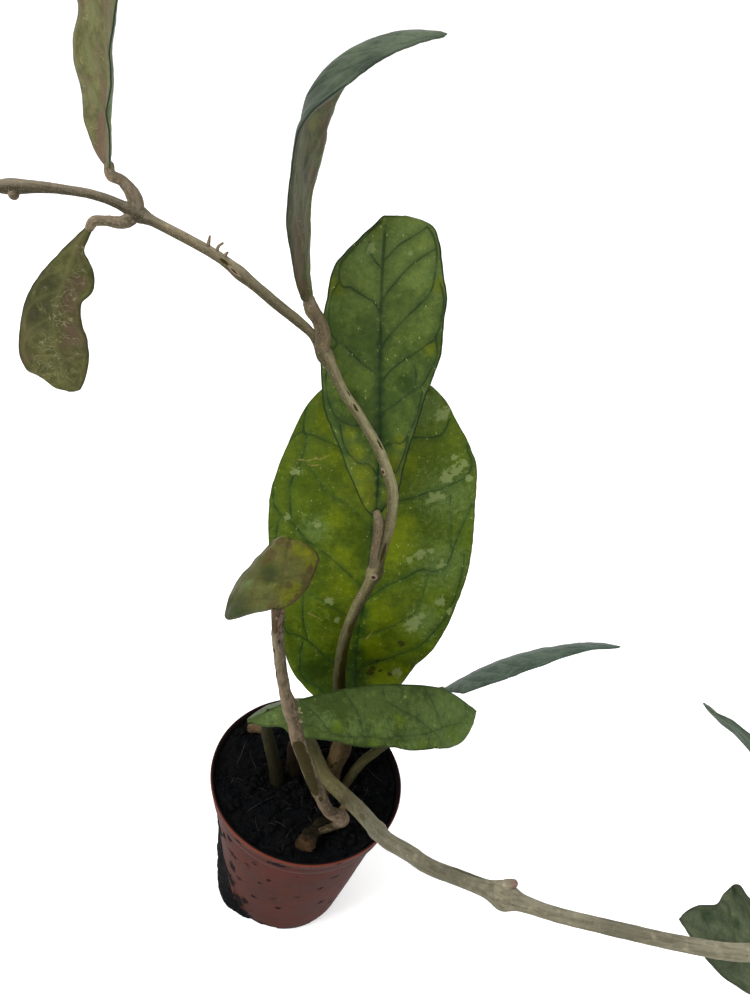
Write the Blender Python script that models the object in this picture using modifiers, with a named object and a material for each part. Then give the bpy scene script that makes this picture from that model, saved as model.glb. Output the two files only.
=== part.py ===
"""Potted Hoya finlaysonii: a trailing plant with ten leathery leaves in a 60 mm nursery pot.

The origin is the centre of the pot's underside, +Z is up, and -Y is the side that the plant is
seen from. Sizes and places are in millimetres and degrees, and MM turns them into metres. Left
and right of a leaf are as seen from its upper side, with its stalk below.
"""

import math
from dataclasses import dataclass, field

import bmesh
import bpy
import numpy as np
from mathutils import Vector, noise

MM = 0.001
TOUCH_GAP = 0.3        # between pieces that rest on or in one another

# Pot
RIM_RADIUS = 30.0
POT_HEIGHT = 56.0
BASE_RADIUS = 21.3
WALL = 1.0
FLOOR = 1.4
BAND_DEPTH = 6.5       # the wider band below the rim
BAND_STEP = 1.1        # how far the band stands out from the wall
DRAIN_HOLES = 4
DRAIN_RADIUS = 2.4
DRAIN_CIRCLE = 12.5
FOOT_NOTCHES = 8
NOTCH_WIDTH = 5.0
NOTCH_HEIGHT = 1.5
POT_SIDES = 44

# Soil
SOIL_LEVEL = 53.0
SOIL_ROUGHNESS = 0.9
SOIL_GRAIN = 7.0       # breadth of the humps
HOLE_SPREAD = 1.08     # so that the corners of an eight-sided stem stay clear of the flats

# Leaves and stems
BLADE_THICKNESS = 0.9
LEAF_END = 0.9         # half width of a blade at its stalk and at its very tip
STEM_STEP = 3.6        # spacing of the rings of a stem
TWIG_STEP = 1.6

POT_COLOUR = (0.30, 0.085, 0.045, 1.0)
SOIL_COLOUR = (0.012, 0.010, 0.009, 1.0)
VINE_COLOUR = (0.30, 0.26, 0.17, 1.0)
WOOD_COLOUR = (0.30, 0.21, 0.13, 1.0)
LEAF_COLOUR = (0.07, 0.13, 0.02, 1.0)

# Routes of the stems: (x, y, z, radius), from the root end outwards
MAIN_VINE = [
    (4.0, -8.5, 43.0, 3.4), (4.5, -7.2, 52.0, 3.6), (7.5, 1.5, 59.5, 3.1), (9.0, 7.5, 65.0, 2.8),
    (7.5, 11.0, 69.0, 2.3), (5.0, 14.5, 73.5, 2.1), (3.0, 17.0, 78.5, 2.0), (1.7, 18.5, 86.0, 1.9),
    (1.0, 19.0, 97.0, 1.8), (2.0, 19.0, 110.5, 1.7), (4.5, 19.0, 124.5, 1.65),
    (5.0, 20.0, 135.0, 1.55), (5.0, 21.0, 144.0, 1.5), (4.0, 22.0, 152.0, 1.5),
    (2.0, 22.5, 157.5, 1.45), (-1.5, 23.0, 163.5, 1.4), (-5.0, 24.0, 167.5, 1.35),
    (-9.5, 25.0, 172.0, 1.35), (-14.0, 26.0, 175.5, 1.35), (-18.5, 27.0, 180.0, 1.4),
    (-21.5, 28.0, 182.5, 1.4), (-25.5, 29.0, 186.5, 1.2), (-29.7, 30.0, 188.6, 1.35),
    (-34.7, 31.0, 190.6, 1.4), (-43.0, 33.0, 194.1, 1.4), (-51.0, 34.0, 197.7, 1.35),
    (-62.0, 36.0, 200.3, 1.3), (-68.0, 37.0, 201.4, 1.3), (-75.0, 38.5, 202.5, 1.35),
    (-83.0, 37.5, 204.5, 1.2), (-93.5, 36.0, 204.5, 1.2), (-105.0, 33.0, 203.0, 1.25),
    (-111.0, 31.5, 201.5, 1.1), (-118.0, 30.0, 198.0, 0.9), (-123.0, 29.0, 193.5, 0.6),
]
MAIN_VINE_NODES = [
    (4.5, 19.0, 124.5, 0.35), (5.0, 20.5, 141.0, 0.2), (-21.5, 28.0, 182.5, 0.35),
    (-46.5, 33.5, 196.0, 0.35), (-75.0, 38.5, 202.5, 0.45), (-105.0, 33.0, 203.0, 0.35),
]
LEAF_1_STALK = [(9.0, 8.0, 65.0, 1.7), (10.0, 11.0, 65.3, 1.6)]
LEAF_2_STALK = [(3.5, 19.0, 125.5, 1.3), (2.5, 18.5, 130.5, 1.15), (2.0, 19.0, 136.5, 1.15)]
LEAF_3_STALK = [(-22.5, 28.0, 183.0, 1.7), (-22.5, 27.0, 187.5, 1.7), (-24.0, 26.0, 191.5, 1.6)]
LEAF_4_STALK = [(-75.0, 38.5, 203.0, 1.4), (-75.5, 37.5, 207.0, 1.4), (-78.5, 36.5, 210.0, 1.4)]
LEAF_5_STALK = [(-75.5, 38.5, 202.0, 1.35), (-78.0, 37.0, 200.0, 1.25), (-82.0, 35.5, 199.7, 1.2)]
SPURS = [
    [(-55.5, 34.8, 199.0, 0.6), (-55.3, 34.4, 201.0, 0.45), (-55.0, 34.0, 203.0, 0.25)],
    [(-53.0, 34.6, 198.4, 0.5), (-52.8, 34.0, 200.6, 0.4), (-51.4, 33.5, 202.2, 0.25)],
    [(-51.0, 34.4, 197.6, 0.6), (-50.6, 33.6, 199.4, 0.45), (-49.9, 33.0, 200.4, 0.25)],
]
TRAILING_VINE = [
    (-4.5, 14.0, 42.0, 2.3), (-3.5, 12.5, 52.0, 2.3), (-1.5, 8.0, 59.5, 2.25),
    (2.0, 0.4, 62.4, 2.25), (6.0, -6.2, 64.9, 2.2), (11.8, -11.0, 67.3, 2.2),
    (15.9, -22.7, 77.6, 2.1), (20.3, -35.0, 88.8, 2.0), (22.7, -41.0, 94.6, 1.9),
    (26.5, -45.0, 98.0, 1.85), (31.5, -50.0, 103.0, 1.75), (37.5, -53.5, 107.5, 1.7),
    (45.5, -58.0, 112.2, 1.7), (53.5, -60.0, 114.2, 1.65), (66.5, -62.5, 118.6, 1.6),
    (78.5, -63.5, 120.6, 1.6), (88.0, -64.0, 122.5, 1.65), (95.0, -62.5, 122.5, 1.65),
    (101.5, -59.0, 122.5, 1.6), (107.5, -54.0, 121.0, 1.2), (111.5, -49.0, 118.0, 0.8),
]
TRAILING_VINE_NODES = [
    (20.0, -35.5, 89.0, 0.35), (46.0, -58.2, 112.7, 0.9), (101.5, -59.0, 122.5, 0.6),
]
TRAILING_NUB = [(46.3, -58.2, 112.5, 1.0), (46.6, -57.6, 115.2, 0.8), (47.2, -57.0, 116.6, 0.5)]
LEAF_9_STALK = [(101.5, -59.0, 122.8, 1.3), (101.5, -57.0, 124.2, 1.25)]
LEAF_10_STALK = [(102.5, -58.8, 122.0, 1.2), (107.0, -58.0, 118.5, 1.1)]
SHORT_STEM = [
    (5.5, -20.0, 57.5, 1.3), (8.5, -17.5, 57.8, 1.3), (12.0, -15.0, 57.6, 1.5),
    (13.8, -14.8, 60.0, 2.2), (11.8, -19.1, 69.8, 2.0), (8.0, -21.3, 78.5, 1.9),
    (4.0, -23.0, 86.5, 1.75), (0.5, -25.0, 96.0, 1.7), (-3.0, -26.0, 104.0, 1.65),
    (-5.5, -26.5, 111.0, 1.6), (-7.5, -27.0, 116.5, 1.5), (-9.5, -27.0, 121.5, 1.35),
    (-11.5, -27.0, 128.5, 1.3), (-13.0, -27.0, 134.5, 1.35), (-14.3, -27.5, 140.5, 1.35),
]
SHORT_STEM_NODES = [(13.5, -15.2, 61.0, 0.2), (-7.5, -27.0, 116.0, 0.3)]
CUT_STUB = [
    (11.0, -12.0, 43.0, 2.7), (9.5, -13.5, 51.0, 2.8), (7.2, -16.5, 55.5, 3.0),
    (5.2, -21.0, 57.3, 3.2), (4.2, -25.5, 58.2, 3.1),
]
LEAF_6_STALK = [
    (-8.0, -4.0, 43.0, 2.0), (-9.0, -3.5, 53.0, 2.1), (-11.5, -3.0, 60.0, 2.0),
    (-15.0, -3.8, 69.0, 1.8), (-18.0, -4.5, 74.5, 1.6),
]
LEAF_7_STALK = [
    (11.5, -2.5, 43.0, 1.4), (12.0, 0.0, 52.0, 1.45), (13.5, 2.5, 56.5, 1.5),
    (16.0, 6.0, 60.0, 1.5), (19.5, 10.0, 61.5, 1.5), (23.5, 15.0, 62.5, 1.45),
    (27.5, 20.0, 66.0, 1.4), (32.0, 23.5, 72.5, 1.3),
]
OLD_STUB = [
    (-2.5, -1.0, 43.0, 2.0), (-4.5, 1.0, 53.0, 2.2), (-6.0, 4.0, 58.0, 2.0), (-6.5, 5.5, 62.0, 1.9),
]
BARK_CHIPS = [  # centre x and y on the soil, heading, length, radius
    (-20.0, 12.5, 20.0, 6.0, 1.6),
    (13.0, -8.5, 70.0, 4.5, 1.1),
]


@dataclass
class Leaf:
    """A blade: where its midrib runs and how the blade spreads from it.

    Pairs are for its left and right half. A place along the midrib runs from 0 to 1.
    """

    name: str
    midrib: list                # points from the stalk to the tip
    facing: list                # (along, direction that the upper side faces)
    half_widths: tuple
    widest: tuple = (0.5, 0.5)
    base: tuple = (0.8, 0.8)    # 0.5 is round, 1 is a wedge
    tip: tuple = (0.5, 0.5)
    rise: list = field(default_factory=lambda: [(0.0, 8.0, 8.0)])  # (along, left, right) angle
    curl: tuple = (1.0, 1.0)    # how far the margins bend down
    ripple: float = 0.7
    ripples: float = 3.5
    bites: list = field(default_factory=list)  # (half, along, half length, depth share)
    stalk_at: float = 0.0       # where the stalk meets the midrib, from below if past the base
    rows: int = 22
    columns: int = 8


LEFT, RIGHT = 0, 1
LEAVES = [
    Leaf(
        name="leaf_1",
        midrib=[
            (10.0, 14.0, 66.0), (9.5, 19.0, 67.8), (8.2, 23.5, 73.5), (5.5, 27.0, 87.0),
            (4.0, 29.0, 106.0), (2.0, 31.5, 123.5), (-1.0, 34.0, 139.5), (-4.0, 36.0, 154.5),
            (-7.0, 38.0, 169.0), (-8.5, 39.0, 176.5),
        ],
        facing=[(0.0, (0.1, -0.4, 0.9)), (0.1, (0.1, -1.0, 0.3)), (1.0, (0.1, -1.0, 0.2))],
        half_widths=(30.6, 30.5),
        widest=(0.56, 0.68),
        base=(0.66, 0.66),
        tip=(0.5, 0.5),
        rise=[(0.0, 6.0, 12.0), (0.5, 4.0, 4.0), (1.0, 2.0, 2.0)],
        ripple=1.0,
        rows=26,
        columns=10,
    ),
    Leaf(
        name="leaf_2",
        midrib=[
            (1.0, 23.0, 143.5), (-1.0, 26.0, 153.0), (-3.0, 29.0, 162.0), (-5.5, 32.0, 172.5),
            (-8.0, 34.5, 182.5), (-10.0, 36.5, 192.0), (-12.0, 38.0, 201.5),
            (-13.5, 39.5, 210.5), (-14.5, 40.5, 216.5),
        ],
        facing=[(0.0, (0.1, -1.0, 0.3)), (1.0, (0.1, -1.0, 0.2))],
        half_widths=(15.6, 16.6),
        widest=(0.55, 0.78),
        base=(1.4, 0.95),
        tip=(0.75, 0.2),
        rise=[(0.0, 14.0, 14.0), (1.0, 3.0, 3.0)],
        ripple=0.8,
        rows=24,
        columns=10,
    ),
    Leaf(
        name="leaf_3",
        midrib=[
            (-27.0, 25.0, 196.3), (-28.6, 25.5, 201.0), (-30.0, 26.5, 209.5),
            (-31.8, 28.0, 216.5), (-33.0, 29.5, 222.5), (-34.0, 31.0, 228.5),
            (-35.2, 32.5, 233.5), (-35.2, 34.0, 237.5), (-34.3, 36.5, 241.5),
            (-32.5, 39.0, 245.0), (-29.5, 41.5, 248.0), (-26.0, 44.0, 250.5),
            (-21.5, 47.0, 252.8), (-16.0, 49.5, 254.3), (-10.0, 52.0, 255.0),
        ],
        facing=[
            (0.0, (-1.0, -0.07, 0.1)), (0.55, (-1.0, -0.07, 0.1)), (0.7, (-0.7, -0.1, 0.7)),
            (1.0, (-0.2, -0.1, 1.0)),
        ],
        half_widths=(16.0, 16.0),
        widest=(0.55, 0.5),
        base=(0.8, 0.5),
        tip=(0.8, 0.9),
        rise=[
            (0.0, 2.0, 20.0), (0.1, 0.0, 19.0), (0.2, 0.0, 13.0), (0.3, 0.0, 8.0),
            (0.4, -2.0, 8.0), (0.5, -5.0, 2.0), (0.57, -13.0, -28.0), (0.7, -20.0, -20.0),
            (0.8, -20.0, -16.0), (1.0, -20.0, -10.0),
        ],
        ripple=0.4,
        rows=28,
    ),
    Leaf(
        name="leaf_4",
        midrib=[
            (-80.8, 35.4, 212.5), (-81.2, 35.2, 217.0), (-81.2, 36.0, 223.0),
            (-81.5, 37.0, 231.0), (-82.5, 38.0, 238.5), (-83.0, 38.5, 246.0),
            (-83.5, 39.5, 256.0), (-83.0, 41.0, 268.0), (-81.5, 43.0, 280.0),
            (-79.5, 44.5, 287.0),
        ],
        facing=[(0.0, (0.67, 0.74, 0.0)), (1.0, (0.67, 0.74, 0.1))],
        half_widths=(16.0, 17.0),
        widest=(0.6, 0.55),
        base=(1.0, 0.6),
        tip=(0.6, 0.6),
        rise=[(0.0, -22.0, 0.0), (0.3, -22.0, 0.0), (0.4, -14.0, 0.0), (1.0, -14.0, 0.0)],
        ripples=4.5,
    ),
    Leaf(
        name="leaf_5",
        midrib=[
            (-85.0, 34.0, 198.0), (-86.5, 33.5, 195.5), (-88.0, 33.0, 192.0),
            (-91.0, 32.5, 183.0), (-93.0, 32.0, 177.0), (-94.0, 32.0, 170.0),
            (-93.0, 32.0, 162.0), (-91.0, 32.0, 155.5), (-90.0, 32.0, 151.5),
        ],
        facing=[(0.0, (-0.1, 1.0, 0.0)), (1.0, (-0.2, 1.0, 0.0))],
        half_widths=(11.0, 8.6),
        widest=(0.78, 0.6),
        base=(1.7, 1.1),
        tip=(0.45, 0.5),
        rise=[(0.0, 20.0, 20.0), (1.0, 5.0, 5.0)],
        bites=[(RIGHT, 0.49, 0.09, 0.3), (RIGHT, 0.1, 0.06, 0.8)],
        rows=26,
        columns=6,
    ),
    Leaf(
        name="leaf_6",
        midrib=[
            (-21.0, -4.5, 79.0), (-17.0, -3.0, 82.0), (-12.0, -1.0, 85.4), (-4.5, 1.5, 88.6),
            (5.0, 6.0, 90.7), (21.0, 12.0, 91.7), (35.0, 15.0, 90.7), (46.5, 14.0, 86.0),
        ],
        facing=[(0.0, (0.0, 0.0, 1.0)), (1.0, (0.1, 0.0, 1.0))],
        half_widths=(15.0, 18.8),
        widest=(0.5, 0.68),
        base=(0.45, 0.95),
        tip=(0.6, 0.25),
        rise=[(0.0, -35.0, -12.0), (0.3, -55.0, -17.0), (0.5, -70.0, -20.0), (1.0, -50.0, -15.0)],
        ripple=0.6,
        stalk_at=0.09,
    ),
    Leaf(
        name="leaf_7",
        midrib=[
            (37.0, 26.0, 80.5), (45.5, 28.0, 89.5), (56.5, 30.5, 97.5), (67.5, 32.0, 103.7),
            (78.0, 33.5, 107.5), (85.5, 34.0, 108.5),
        ],
        facing=[(0.0, (-0.5, -0.1, 1.0)), (1.0, (-0.1, -0.1, 1.0))],
        half_widths=(13.0, 11.5),
        widest=(0.42, 0.38),
        base=(0.7, 0.7),
        tip=(0.9, 0.8),
        rise=[(0.0, -45.0, 28.0), (1.0, -45.0, 30.0)],
        ripple=0.5,
    ),
    Leaf(
        name="leaf_8",
        midrib=[
            (-15.0, -28.5, 147.5), (-15.5, -25.0, 150.0), (-16.0, -20.5, 152.5),
            (-16.5, -17.0, 155.0), (-16.5, -15.0, 156.5),
        ],
        facing=[(0.0, (0.0, -0.5, 1.0)), (1.0, (0.0, -0.5, 1.0))],
        half_widths=(11.6, 7.5),
        widest=(0.1, 0.8),
        base=(0.3, 0.75),
        tip=(1.0, 0.4),
        rise=[(0.0, -12.0, 0.0), (0.3, 0.0, 0.0), (1.0, 5.0, 5.0)],
        curl=(11.0, 2.5),
        ripple=0.5,
        stalk_at=0.05,
        rows=18,
        columns=6,
    ),
    Leaf(
        name="leaf_9",
        midrib=[
            (101.3, -52.5, 126.5), (101.0, -49.0, 132.0), (99.0, -43.0, 139.5),
            (96.3, -36.0, 142.5), (94.0, -29.0, 141.0), (93.0, -22.0, 138.5),
            (92.0, -15.0, 135.2), (91.5, -9.0, 133.0),
        ],
        facing=[
            (0.0, (0.87, -0.4, 0.3)), (0.45, (0.76, 0.02, 0.63)), (0.8, (0.48, 0.4, 0.78)),
            (1.0, (0.4, 0.45, 0.8)),
        ],
        half_widths=(12.0, 12.0),
        widest=(0.45, 0.45),
        tip=(0.8, 0.8),
        rows=18,
        columns=6,
    ),
    Leaf(
        name="leaf_10",
        midrib=[
            (104.5, -58.0, 113.0), (100.0, -57.5, 112.8), (95.5, -57.0, 112.8),
            (89.5, -55.5, 113.0), (84.0, -54.0, 113.0),
        ],
        facing=[(0.0, (0.0, -0.3, 1.0)), (1.0, (0.0, -0.3, 1.0))],
        half_widths=(7.6, 13.3),
        widest=(0.12, 0.42),
        base=(0.5, 0.6),
        tip=(0.95, 1.0),
        rise=[(0.0, -5.0, -5.0)],
        bites=[(RIGHT, 0.75, 0.14, 0.34)],
        ripple=0.4,
        rows=20,
        columns=6,
    ),
]


def clear_scene():
    """Remove every object that the file starts with."""
    for thing in list(bpy.data.objects):
        bpy.data.objects.remove(thing, do_unlink=True)


def new_collection(name):
    collection = bpy.data.collections.new(name)
    bpy.context.scene.collection.children.link(collection)
    return collection


def finish(name, colour, roughness):
    """A plain material with the piece's colour."""
    material = bpy.data.materials.new(name)
    material.use_nodes = True
    shader = material.node_tree.nodes["Principled BSDF"]
    shader.inputs["Base Color"].default_value = colour
    shader.inputs["Roughness"].default_value = roughness
    shader.inputs["Metallic"].default_value = 0.0
    return material


def add_object(name, mesh, collection, material=None):
    thing = bpy.data.objects.new(name, mesh)
    collection.objects.link(thing)
    if material:
        mesh.materials.clear()
        mesh.materials.append(material)
    return thing


def evaluated_mesh(thing):
    """A copy of the object's mesh with its modifiers applied."""
    bpy.context.view_layer.update()
    depsgraph = bpy.context.evaluated_depsgraph_get()
    return bpy.data.meshes.new_from_object(thing.evaluated_get(depsgraph))


def apply_modifiers(thing):
    mesh = evaluated_mesh(thing)
    thing.modifiers.clear()
    thing.data = mesh


def smooth_curve(points, samples=400):
    """Even samples of a smooth curve through the points, and how far along each lies.

    Columns past the third, such as a radius, are carried along.
    """
    points = np.array(points, dtype=float)
    chords = np.linalg.norm(np.diff(points[:, :3], axis=0), axis=1)
    places = np.concatenate(([0.0], np.cumsum(chords)))
    slopes = np.diff(points, axis=0) / chords[:, None]
    share = (chords[:-1] / (chords[:-1] + chords[1:]))[:, None]
    inner = slopes[:-1] * (1 - share) + slopes[1:] * share
    tangents = np.vstack((slopes[:1], inner, slopes[-1:]))

    at = np.linspace(0.0, places[-1], samples)
    span = np.clip(np.searchsorted(places, at, side="right") - 1, 0, len(chords) - 1)
    length = chords[span][:, None]
    u = (at - places[span])[:, None] / length
    curve = (
        (1 + 2 * u) * (1 - u) ** 2 * points[span]
        + u * (1 - u) ** 2 * length * tangents[span]
        + u ** 2 * (3 - 2 * u) * points[span + 1]
        + u ** 2 * (u - 1) * length * tangents[span + 1]
    )
    steps = np.linalg.norm(np.diff(curve[:, :3], axis=0), axis=1)
    return curve, np.concatenate(([0.0], np.cumsum(steps)))


def read_along(curve, places, at):
    """The curve's columns at the given distances along it."""
    return np.stack([np.interp(at, places, column) for column in curve.T], axis=-1)


def soil_height(x, y):
    """The soil's surface in millimetres: low humps, a little lower at the wall."""
    bumps = noise.noise(Vector((x / SOIL_GRAIN, y / SOIL_GRAIN, 3.7)))
    return SOIL_LEVEL + SOIL_ROUGHNESS * bumps - 0.001 * (x * x + y * y)


def turned(name, profile, collection, material):
    """A profile of (radius, height) points turned round the Z axis."""
    mesh = bpy.data.meshes.new(name)
    verts = [(radius * MM, 0.0, height * MM) for radius, height in profile]
    mesh.from_pydata(verts, [(i, i + 1) for i in range(len(verts) - 1)], [])
    thing = add_object(name, mesh, collection, material)
    screw = thing.modifiers.new("Turn", "SCREW")
    screw.steps = POT_SIDES
    screw.render_steps = POT_SIDES
    screw.use_merge_vertices = True
    screw.merge_threshold = 0.00001
    apply_modifiers(thing)
    return thing


def inner_wall(height):
    """The pot's inner radius at a height."""
    band = POT_HEIGHT - BAND_DEPTH
    wall_top = RIM_RADIUS - BAND_STEP - 1.0
    heights = [FLOOR, band - 1.0, band, POT_HEIGHT]
    radii = [BASE_RADIUS - WALL, wall_top - WALL, wall_top, RIM_RADIUS - 0.9]
    return float(np.interp(height, heights, radii))


def make_pot(collection, cutters):
    band = POT_HEIGHT - BAND_DEPTH
    wall_top = RIM_RADIUS - BAND_STEP - 1.0
    inside = [(inner_wall(height), height) for height in (FLOOR, band - 1.0, band, POT_HEIGHT)]
    outside = [
        (RIM_RADIUS - 0.1, POT_HEIGHT), (RIM_RADIUS, POT_HEIGHT - 0.5),
        (wall_top + BAND_STEP, band + 0.2), (wall_top, band - 0.6), (BASE_RADIUS, 0.9),
        (BASE_RADIUS - 0.9, 0.0),
    ]
    profile = [(0.0, FLOOR)] + inside + outside + [(0.0, 0.0)]
    pot = turned("pot", profile, collection, finish("pot plastic", POT_COLOUR, 0.5))

    for i in range(DRAIN_HOLES):
        angle = 2 * math.pi * (i + 0.5) / DRAIN_HOLES
        reach = DRAIN_CIRCLE * MM
        bpy.ops.mesh.primitive_cylinder_add(
            vertices=16, radius=DRAIN_RADIUS * MM, depth=4 * FLOOR * MM,
            location=(reach * math.cos(angle), reach * math.sin(angle), 0.0),
        )
        move_to(bpy.context.object, f"drain_cutter_{i + 1}", cutters)
    for i in range(FOOT_NOTCHES):
        angle = 2 * math.pi * i / FOOT_NOTCHES
        reach = (BASE_RADIUS - 1.2) * MM
        bpy.ops.mesh.primitive_cube_add(
            size=1.0, location=(reach * math.cos(angle), reach * math.sin(angle), 0.0),
            rotation=(0.0, 0.0, angle), scale=(5.0 * MM, NOTCH_WIDTH * MM, 2 * NOTCH_HEIGHT * MM),
        )
        move_to(bpy.context.object, f"notch_cutter_{i + 1}", cutters)
    cut(pot, cutters)
    return pot


def move_to(thing, name, collection):
    """Name an object just made and file it in the collection."""
    thing.name = name
    for holder in list(thing.users_collection):
        holder.objects.unlink(thing)
    collection.objects.link(thing)
    thing.hide_render = True
    thing.display_type = "WIRE"


def cut(thing, cutters):
    """Cut every object of a collection out of the piece, then remove them."""
    join = thing.modifiers.new("Cut", "BOOLEAN")
    join.operation = "DIFFERENCE"
    join.operand_type = "COLLECTION"
    join.collection = cutters
    apply_modifiers(thing)
    for cutter in list(cutters.objects):
        bpy.data.objects.remove(cutter, do_unlink=True)


def tube(name, route, collection, step=STEM_STEP, swellings=()):
    """A round stem along a smooth curve through (x, y, z, radius) points."""
    curve, places = smooth_curve(route)
    rings = max(3, round(places[-1] / step) + 1)
    points = read_along(curve, places, np.linspace(0.0, places[-1], rings))
    for x, y, z, extra in swellings:
        near = np.linalg.norm(points[:, :3] - (x, y, z), axis=1)
        points[:, 3] += extra * np.exp(-(near / 2.6) ** 2)

    data = bpy.data.curves.new(name, "CURVE")
    data.dimensions = "3D"
    data.bevel_depth = MM
    data.bevel_resolution = 2
    data.use_fill_caps = True
    line = data.splines.new("POLY")
    line.points.add(len(points) - 1)
    for point, (x, y, z, radius) in zip(line.points, points):
        point.co = (x * MM, y * MM, z * MM, 1.0)
        point.radius = radius
    wire = bpy.data.objects.new(name, data)
    collection.objects.link(wire)

    mesh = evaluated_mesh(wire)
    welded = bmesh.new()
    welded.from_mesh(mesh)
    bmesh.ops.remove_doubles(welded, verts=welded.verts, dist=0.000001)
    welded.to_mesh(mesh)
    welded.free()
    stem = add_object(name, mesh, collection)
    stem.matrix_world = wire.matrix_world
    bpy.data.objects.remove(wire, do_unlink=True)
    bpy.data.curves.remove(data)
    stem.name = name
    return stem


def join_stems(name, main, branches, collection, material):
    """Fuse a stem and its side branches into one piece."""
    joined = new_collection(name + " branches")
    for branch in branches:
        move_to(branch, branch.name, joined)
    union = main.modifiers.new("Fuse", "BOOLEAN")
    union.operation = "UNION"
    union.operand_type = "COLLECTION"
    union.collection = joined
    apply_modifiers(main)
    for branch in list(joined.objects):
        bpy.data.objects.remove(branch, do_unlink=True)
    bpy.data.collections.remove(joined)
    main.name = name
    main.data.materials.clear()
    main.data.materials.append(material)
    return main


def reach_leaf(stalk, leaf):
    """The stalk's route, led on to a hair short of the blade.

    It meets the blade's first edge end on, or the underside of the midrib further along.
    """
    start = np.array(leaf.midrib[0])
    away = start - np.array(leaf.midrib[1])
    radius = stalk[-1][3]
    gap = TOUCH_GAP + 0.1
    if leaf.stalk_at:
        spine = smooth_curve(leaf.midrib)
        start, _, away = blade_frame(leaf, spine, leaf.stalk_at)
        away = -away
        gap = BLADE_THICKNESS / 2 + TOUCH_GAP + 0.8 * radius
    away = away / np.linalg.norm(away)
    near = start + away * (gap + 1.2)
    end = start + away * gap
    return stalk + [(*near, radius), (*end, 0.75 * radius)]


def outline(leaf, along, side):
    """The blade's half width at a place along the midrib, in millimetres."""
    half_width = leaf.half_widths[side]
    widest = leaf.widest[side]
    if along < widest:
        share = (1.0 - (1.0 - along / widest) ** 2) ** leaf.base[side]
    else:
        share = (1.0 - ((along - widest) / (1.0 - widest)) ** 2) ** leaf.tip[side]
    for half, centre, half_length, depth in leaf.bites:
        if half == side:
            share *= 1.0 - depth * math.exp(-((along - centre) / half_length) ** 4)
    return LEAF_END + (half_width - LEAF_END) * share


def blade_frame(leaf, spine, along):
    """The midrib's point at a place along it, the way to the right, and the upper side's way."""
    curve, places = spine
    at = along * places[-1]
    centre = read_along(curve, places, at)
    ahead = read_along(curve, places, min(at + 0.5, places[-1]))
    behind = read_along(curve, places, max(at - 0.5, 0.0))
    tangent = (ahead - behind) / np.linalg.norm(ahead - behind)
    stations = [station for station, _ in leaf.facing]
    ways = np.array([way for _, way in leaf.facing])
    facing = np.array([np.interp(along, stations, axis) for axis in ways.T])
    upward = facing - tangent * np.dot(facing, tangent)
    upward /= np.linalg.norm(upward)
    return centre, np.cross(tangent, upward), upward


def blade_point(leaf, spine, along, across):
    """A point of the blade's middle surface. across runs from -1, left, to 1, right."""
    centre, sideways, upward = blade_frame(leaf, spine, along)
    side = LEFT if across < 0 else RIGHT
    width = outline(leaf, along, side)
    stations = [row[0] for row in leaf.rise]
    angle = math.radians(np.interp(along, stations, [row[side + 1] for row in leaf.rise]))
    spread = width * across
    edge = across * across * width / max(leaf.half_widths)
    wave = math.sin(2 * math.pi * leaf.ripples * along + 2.1 * side)
    lift = abs(spread) * math.sin(angle) + edge * (leaf.ripple * wave - leaf.curl[side])
    return centre + sideways * spread * math.cos(angle) + upward * lift


def make_leaf(leaf, collection, material):
    """A waved blade of even thickness, its grid split into triangles before it is thickened."""
    spine = smooth_curve(leaf.midrib)
    grid = bmesh.new()
    bmesh.ops.create_grid(grid, x_segments=leaf.columns, y_segments=leaf.rows, size=1.0)
    for vert in grid.verts:
        even = (vert.co.y + 1.0) / 2.0
        along = 0.55 * even + 0.45 * (0.5 - 0.5 * math.cos(math.pi * even))
        vert.co = Vector(blade_point(leaf, spine, along, vert.co.x)) * MM
    bmesh.ops.triangulate(grid, faces=grid.faces)
    mesh = bpy.data.meshes.new(leaf.name)
    grid.to_mesh(mesh)
    grid.free()
    mesh.shade_smooth()
    blade = add_object(leaf.name, mesh, collection, material)
    solid = blade.modifiers.new("Thickness", "SOLIDIFY")
    solid.thickness = BLADE_THICKNESS * MM
    solid.offset = 0.0
    return blade


def make_soil(collection, buried, cutters):
    """Soil that fills the pot, with a rough top and a plain hole for each stem."""
    edge = SOIL_LEVEL - 0.8
    clear = TOUCH_GAP + 0.15
    rings = [(inner_wall(edge) - clear) * share for share in (0.0, 0.2, 0.4, 0.6, 0.8, 1.0)]
    band = POT_HEIGHT - BAND_DEPTH
    heights = (band, band - 1.0, FLOOR + TOUCH_GAP)
    sides = [(inner_wall(height) - clear, height) for height in heights]
    profile = [(radius, edge) for radius in rings] + sides + [(0.0, FLOOR + TOUCH_GAP)]
    soil = turned("potting_soil", profile, collection, finish("peat", SOIL_COLOUR, 0.95))
    for vert in soil.data.vertices:
        if vert.co.z > (edge - 0.1) * MM:
            vert.co.z = soil_height(vert.co.x / MM, vert.co.y / MM) * MM

    for i, route in enumerate(buried):
        curve, _ = smooth_curve(route)
        near = curve[curve[:, 2] < SOIL_LEVEL + 5.0]
        downward = near[0, :3] - near[1, :3]
        foot = near[0, :3] + downward / np.linalg.norm(downward) * (TOUCH_GAP + 0.1)
        widened = [(*foot, near[0, 3] * HOLE_SPREAD + TOUCH_GAP)]
        widened += [(x, y, z, radius * HOLE_SPREAD + TOUCH_GAP) for x, y, z, radius in near[::8]]
        hole = tube(f"hole_cutter_{i + 1}", widened, cutters, step=2.0)
        move_to(hole, hole.name, cutters)
    cut(soil, cutters)
    return soil


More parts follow.
